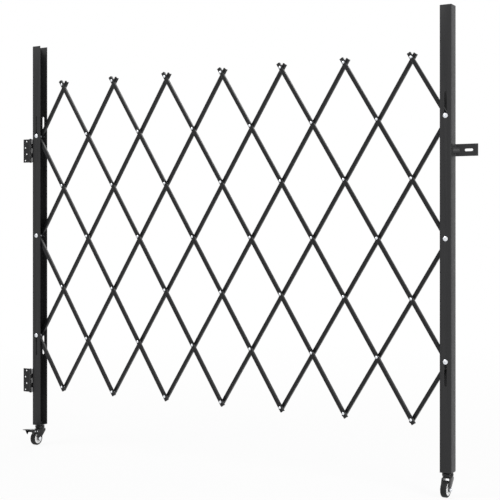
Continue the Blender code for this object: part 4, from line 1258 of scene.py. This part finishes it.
def make_caster(pieces, side_name, side):
    name = "caster_" + side_name
    post = "post_" + side_name
    swivel = name + "_swivel"
    wheel = name + "_wheel"
    foot = gate_point(side * CASTER_X, 0, 0)
    stem = foot + Vector((0, 0, CASTER_DROP))
    axle = foot + Vector((0, -CASTER_TRAIL, WHEEL_RADIUS))
    braked = side < 0
    fork = build_fork(braked)
    lock_nut = build_hex_nut(STEM_NUT_RADIUS, STEM_RADIUS, FOOT_PLATE_THICKNESS + SEAM, STEM_NUT_HEIGHT, "Z")
    wheel_nut = build_hex_nut(AXLE_NUT_RADIUS, AXLE_RADIUS, FORK_HALF_WIDTH + SEAM, AXLE_NUT_HEIGHT, "X")
    rows = (
        ("stem", build_stem, stem, post, BLACK_ZINC, ()),
        ("swivel_head", build_swivel_head, stem, post, GLOSS_PAINT, ("housing",)),
        ("lock_nut", lock_nut, stem, post, BLACK_ZINC, ("stem_nut",)),
        ("pressed_fork", fork, foot, swivel, GLOSS_PAINT, ("fork",)),
        ("rubber_tyre", build_tyre, axle, wheel, TYRE_RUBBER, ("tyre",)),
        ("ribbed_hub", build_hub, axle, wheel, HUB_PLASTIC, ("hub",)),
        ("wheel_bolt", build_axle, axle, swivel, BRIGHT_ZINC, ("axle",)),
        ("wheel_nut", wheel_nut, axle, swivel, BRIGHT_ZINC, ("axle_nut",)),
    )
    for label, build, place, body, material, nodes in rows:
        key = f"{label}_{braked}" if label == "pressed_fork" else label
        stood_for = [f"{name}_{node}" for node in nodes]
        first_or_copy(pieces, key, build, f"{name}_{label}", place, body, material, stood_for)


# Brake pedal
def fit_to_pedal(piece, material, nodes=()):
    """Sets a piece in its place on the pedal, which tilts about its pin."""
    piece.location = gate_point(-CASTER_X, -BRAKE_PIN_AHEAD, BRAKE_PIN_HEIGHT)
    piece.rotation_euler = (-PEDAL_TILT, 0, 0)
    finish_piece(piece, material, "caster_left_brake", nodes)


def pedal_side():
    """Side view of the pedal, measured from its pin, with a pointed lug under each cheek."""
    cheek = PEDAL_CHEEK_BOTTOM
    sheet_line = PEDAL_TOP - PEDAL_SHEET * 5 / 4
    top = PEDAL_TOP + OVERRUN
    outline = [(-PEDAL_REACH, sheet_line), (-PEDAL_REACH, top), (-cheek, top)]
    outline += arc((0, 0), PEDAL_BACK, PEDAL_BACK_START, PEDAL_BACK_END, PEDAL_BACK_STEPS)
    outline += [(-PEDAL_LUG_BACK, -cheek), (-PEDAL_LUG_TIP, -PEDAL_LUG_DROP), (-PEDAL_LUG_FRONT, sheet_line)]
    return outline


def pedal_plan():
    """Plan of the pedal, narrower towards its rounded tip."""
    outer = PEDAL_HALF_WIDTH + OVERRUN
    tip = PEDAL_TIP_HALF_WIDTH
    corner = PEDAL_TIP_CORNER
    outline = [(-outer, PEDAL_BACK + OVERRUN), (-outer, -PEDAL_NECK)]
    outline += arc((corner - tip, corner - PEDAL_REACH), corner, 180, 270, SHEET_BEND_STEPS)
    outline += arc((tip - corner, corner - PEDAL_REACH), corner, 270, 360, SHEET_BEND_STEPS)
    return outline + [(outer, -PEDAL_NECK), (outer, PEDAL_BACK + OVERRUN)]


def make_pedal():
    """Pressed pedal with side cheeks, drilled for its pin and its rivets."""
    reach = PEDAL_HALF_WIDTH + OVERRUN
    depth = PEDAL_TOP + PEDAL_LUG_DROP + OVERRUN
    outline = channel_outline(2 * PEDAL_HALF_WIDTH, depth, PEDAL_SHEET, PEDAL_BEND, SHEET_BEND_STEPS)
    section = [(across, PEDAL_TOP - down) for across, down in outline]
    mesh = bmesh.new()
    extrude(mesh, section, "Y", -PEDAL_REACH - OVERRUN, PEDAL_BACK + OVERRUN)
    side = bmesh.new()
    extrude(side, pedal_side(), "X", -reach, reach)
    plan = bmesh.new()
    extrude(plan, pedal_plan(), "Z", -PEDAL_LUG_DROP - OVERRUN, PEDAL_TOP + OVERRUN)
    holes = bmesh.new()
    drills = [(BRAKE_PIN_HOLE_RADIUS, 0)]
    drills += [(PEDAL_RIVET_RADIUS + SEAM, ahead) for ahead in PEDAL_RIVETS_AHEAD]
    for radius, ahead in drills:
        drill(holes, radius, -reach, reach, Vector((0, -ahead, 0)), "X")
    steps = [("INTERSECT", side), ("INTERSECT", plan), ("DIFFERENCE", holes)]
    pedal = shape_piece("brake_pedal_sheet", mesh, steps, EDGE_ROUNDING)
    fit_to_pedal(pedal, GLOSS_PAINT, ["caster_left_brake_pedal"])


def make_grip_ribs():
    """Raised beads across the tip of the pedal."""
    half = PEDAL_TIP_HALF_WIDTH - PEDAL_TIP_CORNER / 2
    radius = PEDAL_RIB_RADIUS
    bead = ((radius / 8, -half), (radius, radius - half), (radius, half - radius), (radius / 8, half))
    for number in range(PEDAL_RIBS):
        centre = Vector((0, PEDAL_TIP_CORNER + PEDAL_RIB_PITCH * number - PEDAL_REACH, PEDAL_TOP))
        mesh = bmesh.new()
        revolve(mesh, bead, centre, RIVET_SIDES, "X")
        fit_to_pedal(shape_piece(f"brake_pedal_rib_{number + 1}", mesh), GLOSS_PAINT)


def make_pedal_rivets():
    """Domed rivets through the cheeks of the pedal."""
    face = PEDAL_HALF_WIDTH + SEAM
    head = dome(PEDAL_RIVET_HEAD_RADIUS, PEDAL_RIVET_HEAD_HEIGHT, RIVET_RIM, PEDAL_CROWN_STEPS)
    profile = [(radius, face + height) for radius, height in head]
    profile += [(PEDAL_RIVET_RADIUS, face), (PEDAL_RIVET_RADIUS, PEDAL_HALF_WIDTH - PEDAL_SHEET)]
    for side_name, side in (("left", -1), ("right", 1)):
        turned = [(radius, side * height) for radius, height in profile]
        for number, ahead in enumerate(PEDAL_RIVETS_AHEAD, 1):
            mesh = bmesh.new()
            revolve(mesh, turned, Vector((0, -ahead, 0)), RIVET_SIDES, "X")
            fit_to_pedal(shape_piece(f"pedal_rivet_{side_name}_{number}", mesh), BRIGHT_ZINC)


def make_brake_shoe():
    """Block under the pedal that presses on the tyre."""
    top = PEDAL_TOP - PEDAL_SHEET - SEAM
    block = rounded_rectangle((-SHOE_FRONT, -SHOE_DROP), (-SHOE_BACK, top), EDGE_ROUNDING * 2)
    mesh = bmesh.new()
    extrude(mesh, block, "X", -SHOE_HALF_WIDTH, SHOE_HALF_WIDTH)
    fit_to_pedal(shape_piece("brake_shoe", mesh, (), EDGE_ROUNDING), GLOSS_PAINT)


def make_brake_pin():
    """Rivet through the pedal's cheeks and the ears of the fork."""
    face = PEDAL_HALF_WIDTH + SEAM
    rim = BRAKE_PIN_HEAD_HEIGHT / 4
    head = dome(BRAKE_PIN_HEAD_RADIUS, BRAKE_PIN_HEAD_HEIGHT, rim, PEDAL_CROWN_STEPS)
    half = [(r, face + h) for r, h in head] + [(BRAKE_PIN_RADIUS, face)]
    pin = turned_piece("brake_rivet", both_ways(half, -1), RIVET_SIDES, "X")
    pin.location = gate_point(-CASTER_X, -BRAKE_PIN_AHEAD, BRAKE_PIN_HEIGHT)
    finish_piece(pin, BLACK_ZINC, "caster_left_swivel", ["caster_left_brake_pin"])


# Stage, light and camera
def seen_rays(tree):
    """One for rays that look at the stage directly or by way of a gloss or a glass, zero for others."""
    rays = add_node(tree, "LightPath").outputs
    seen = maths(tree, "MAXIMUM", rays["Is Camera Ray"], rays["Is Glossy Ray"])
    return maths(tree, "MAXIMUM", seen, rays["Is Transmission Ray"])


def make_floor():
    """Pale floor that fades to white with distance and keeps the gate's shadow."""
    mesh = bmesh.new()
    centre = gate_point(0, 0, 0)
    reach = FLOOR_REACH
    corners = ((-reach, -reach), (reach, -reach), (reach, reach), (-reach, reach))
    mesh.faces.new([mesh.verts.new(centre + Vector((x, y, 0))) for x, y in corners])
    floor = raw_object("studio_floor", mesh)
    material = bpy.data.materials.new("studio_floor")
    material.use_nodes = True
    tree = material.node_tree
    tree.nodes.clear()
    paint = add_node(tree, "BsdfDiffuse", {"Color": (FLOOR_PAINT, FLOOR_PAINT, FLOOR_PAINT, 1)}).outputs[0]
    glow = add_node(tree, "Emission", {"Color": (1, 1, 1, 1), "Strength": 1.0}).outputs[0]
    place = add_node(tree, "TexCoord").outputs["Object"]
    distance = add_node(tree, "VectorMath", {0: place, 1: tuple(centre)}, operation="DISTANCE")
    fade = remap(tree, distance.outputs["Value"], FLOOR_FADE_START, FLOOR_FADE_END, FLOOR_GLOW, 1.0)
    amount = maths(tree, "MULTIPLY", seen_rays(tree), fade)
    mixed = add_node(tree, "MixShader", {0: amount, 1: paint, 2: glow}).outputs[0]
    add_node(tree, "OutputMaterial", {"Surface": mixed})
    floor.data.materials.append(material)


def make_world():
    """White background with a plain, softer light on the gate."""
    world = bpy.data.worlds.new("studio_world")
    world.use_nodes = True
    bpy.context.scene.world = world
    tree = world.node_tree
    tree.nodes.clear()
    strength = remap(tree, seen_rays(tree), 0.0, 1.0, WORLD_STRENGTH, 1.0)
    background = add_node(tree, "Background", {"Color": (1, 1, 1, 1), "Strength": strength})
    add_node(tree, "OutputWorld", {"Surface": background.outputs[0]})


def add_softbox(name, place, target, size, power):
    data = bpy.data.lights.new(name, "AREA")
    data.shape = "SQUARE"
    data.size = size
    data.energy = power
    lamp = bpy.data.objects.new(name, data)
    lamp.location = place
    lamp.rotation_euler = (target - place).to_track_quat("-Z", "Y").to_euler()
    bpy.context.scene.collection.objects.link(lamp)


def make_lights():
    for name, (place, size, power) in SOFTBOXES.items():
        add_softbox(name, gate_point(*place), gate_point(0, 0, AIM_HEIGHT), size, power)


def make_camera():
    data = bpy.data.cameras.new("photo_camera")
    data.sensor_width = SENSOR_WIDTH
    data.lens = CAMERA_LENS
    data.shift_x, data.shift_y = CAMERA_SHIFT
    camera = bpy.data.objects.new("photo_camera", data)
    camera.location = gate_point(*CAMERA_PLACE)
    camera.rotation_euler = (math.pi / 2, 0, CAMERA_YAW)
    bpy.context.scene.collection.objects.link(camera)
    bpy.context.scene.camera = camera


def main():
    bpy.context.scene.view_settings.view_transform = "Standard"
    make_world()
    make_lights()
    make_camera()
    make_floor()
    pieces = {}
    make_lattice(pieces)
    make_post("post_left", 0, -1)
    make_post("post_right", COLUMNS, 1)
    make_foot_plate("left", -1)
    make_foot_plate("right", 1)
    make_post_bolts(pieces)
    make_hinges(pieces)
    make_lock_plate()
    make_caster(pieces, "left", -1)
    make_caster(pieces, "right", 1)
    make_pedal()
    make_grip_ribs()
    make_pedal_rivets()
    make_brake_shoe()
    make_brake_pin()


main()
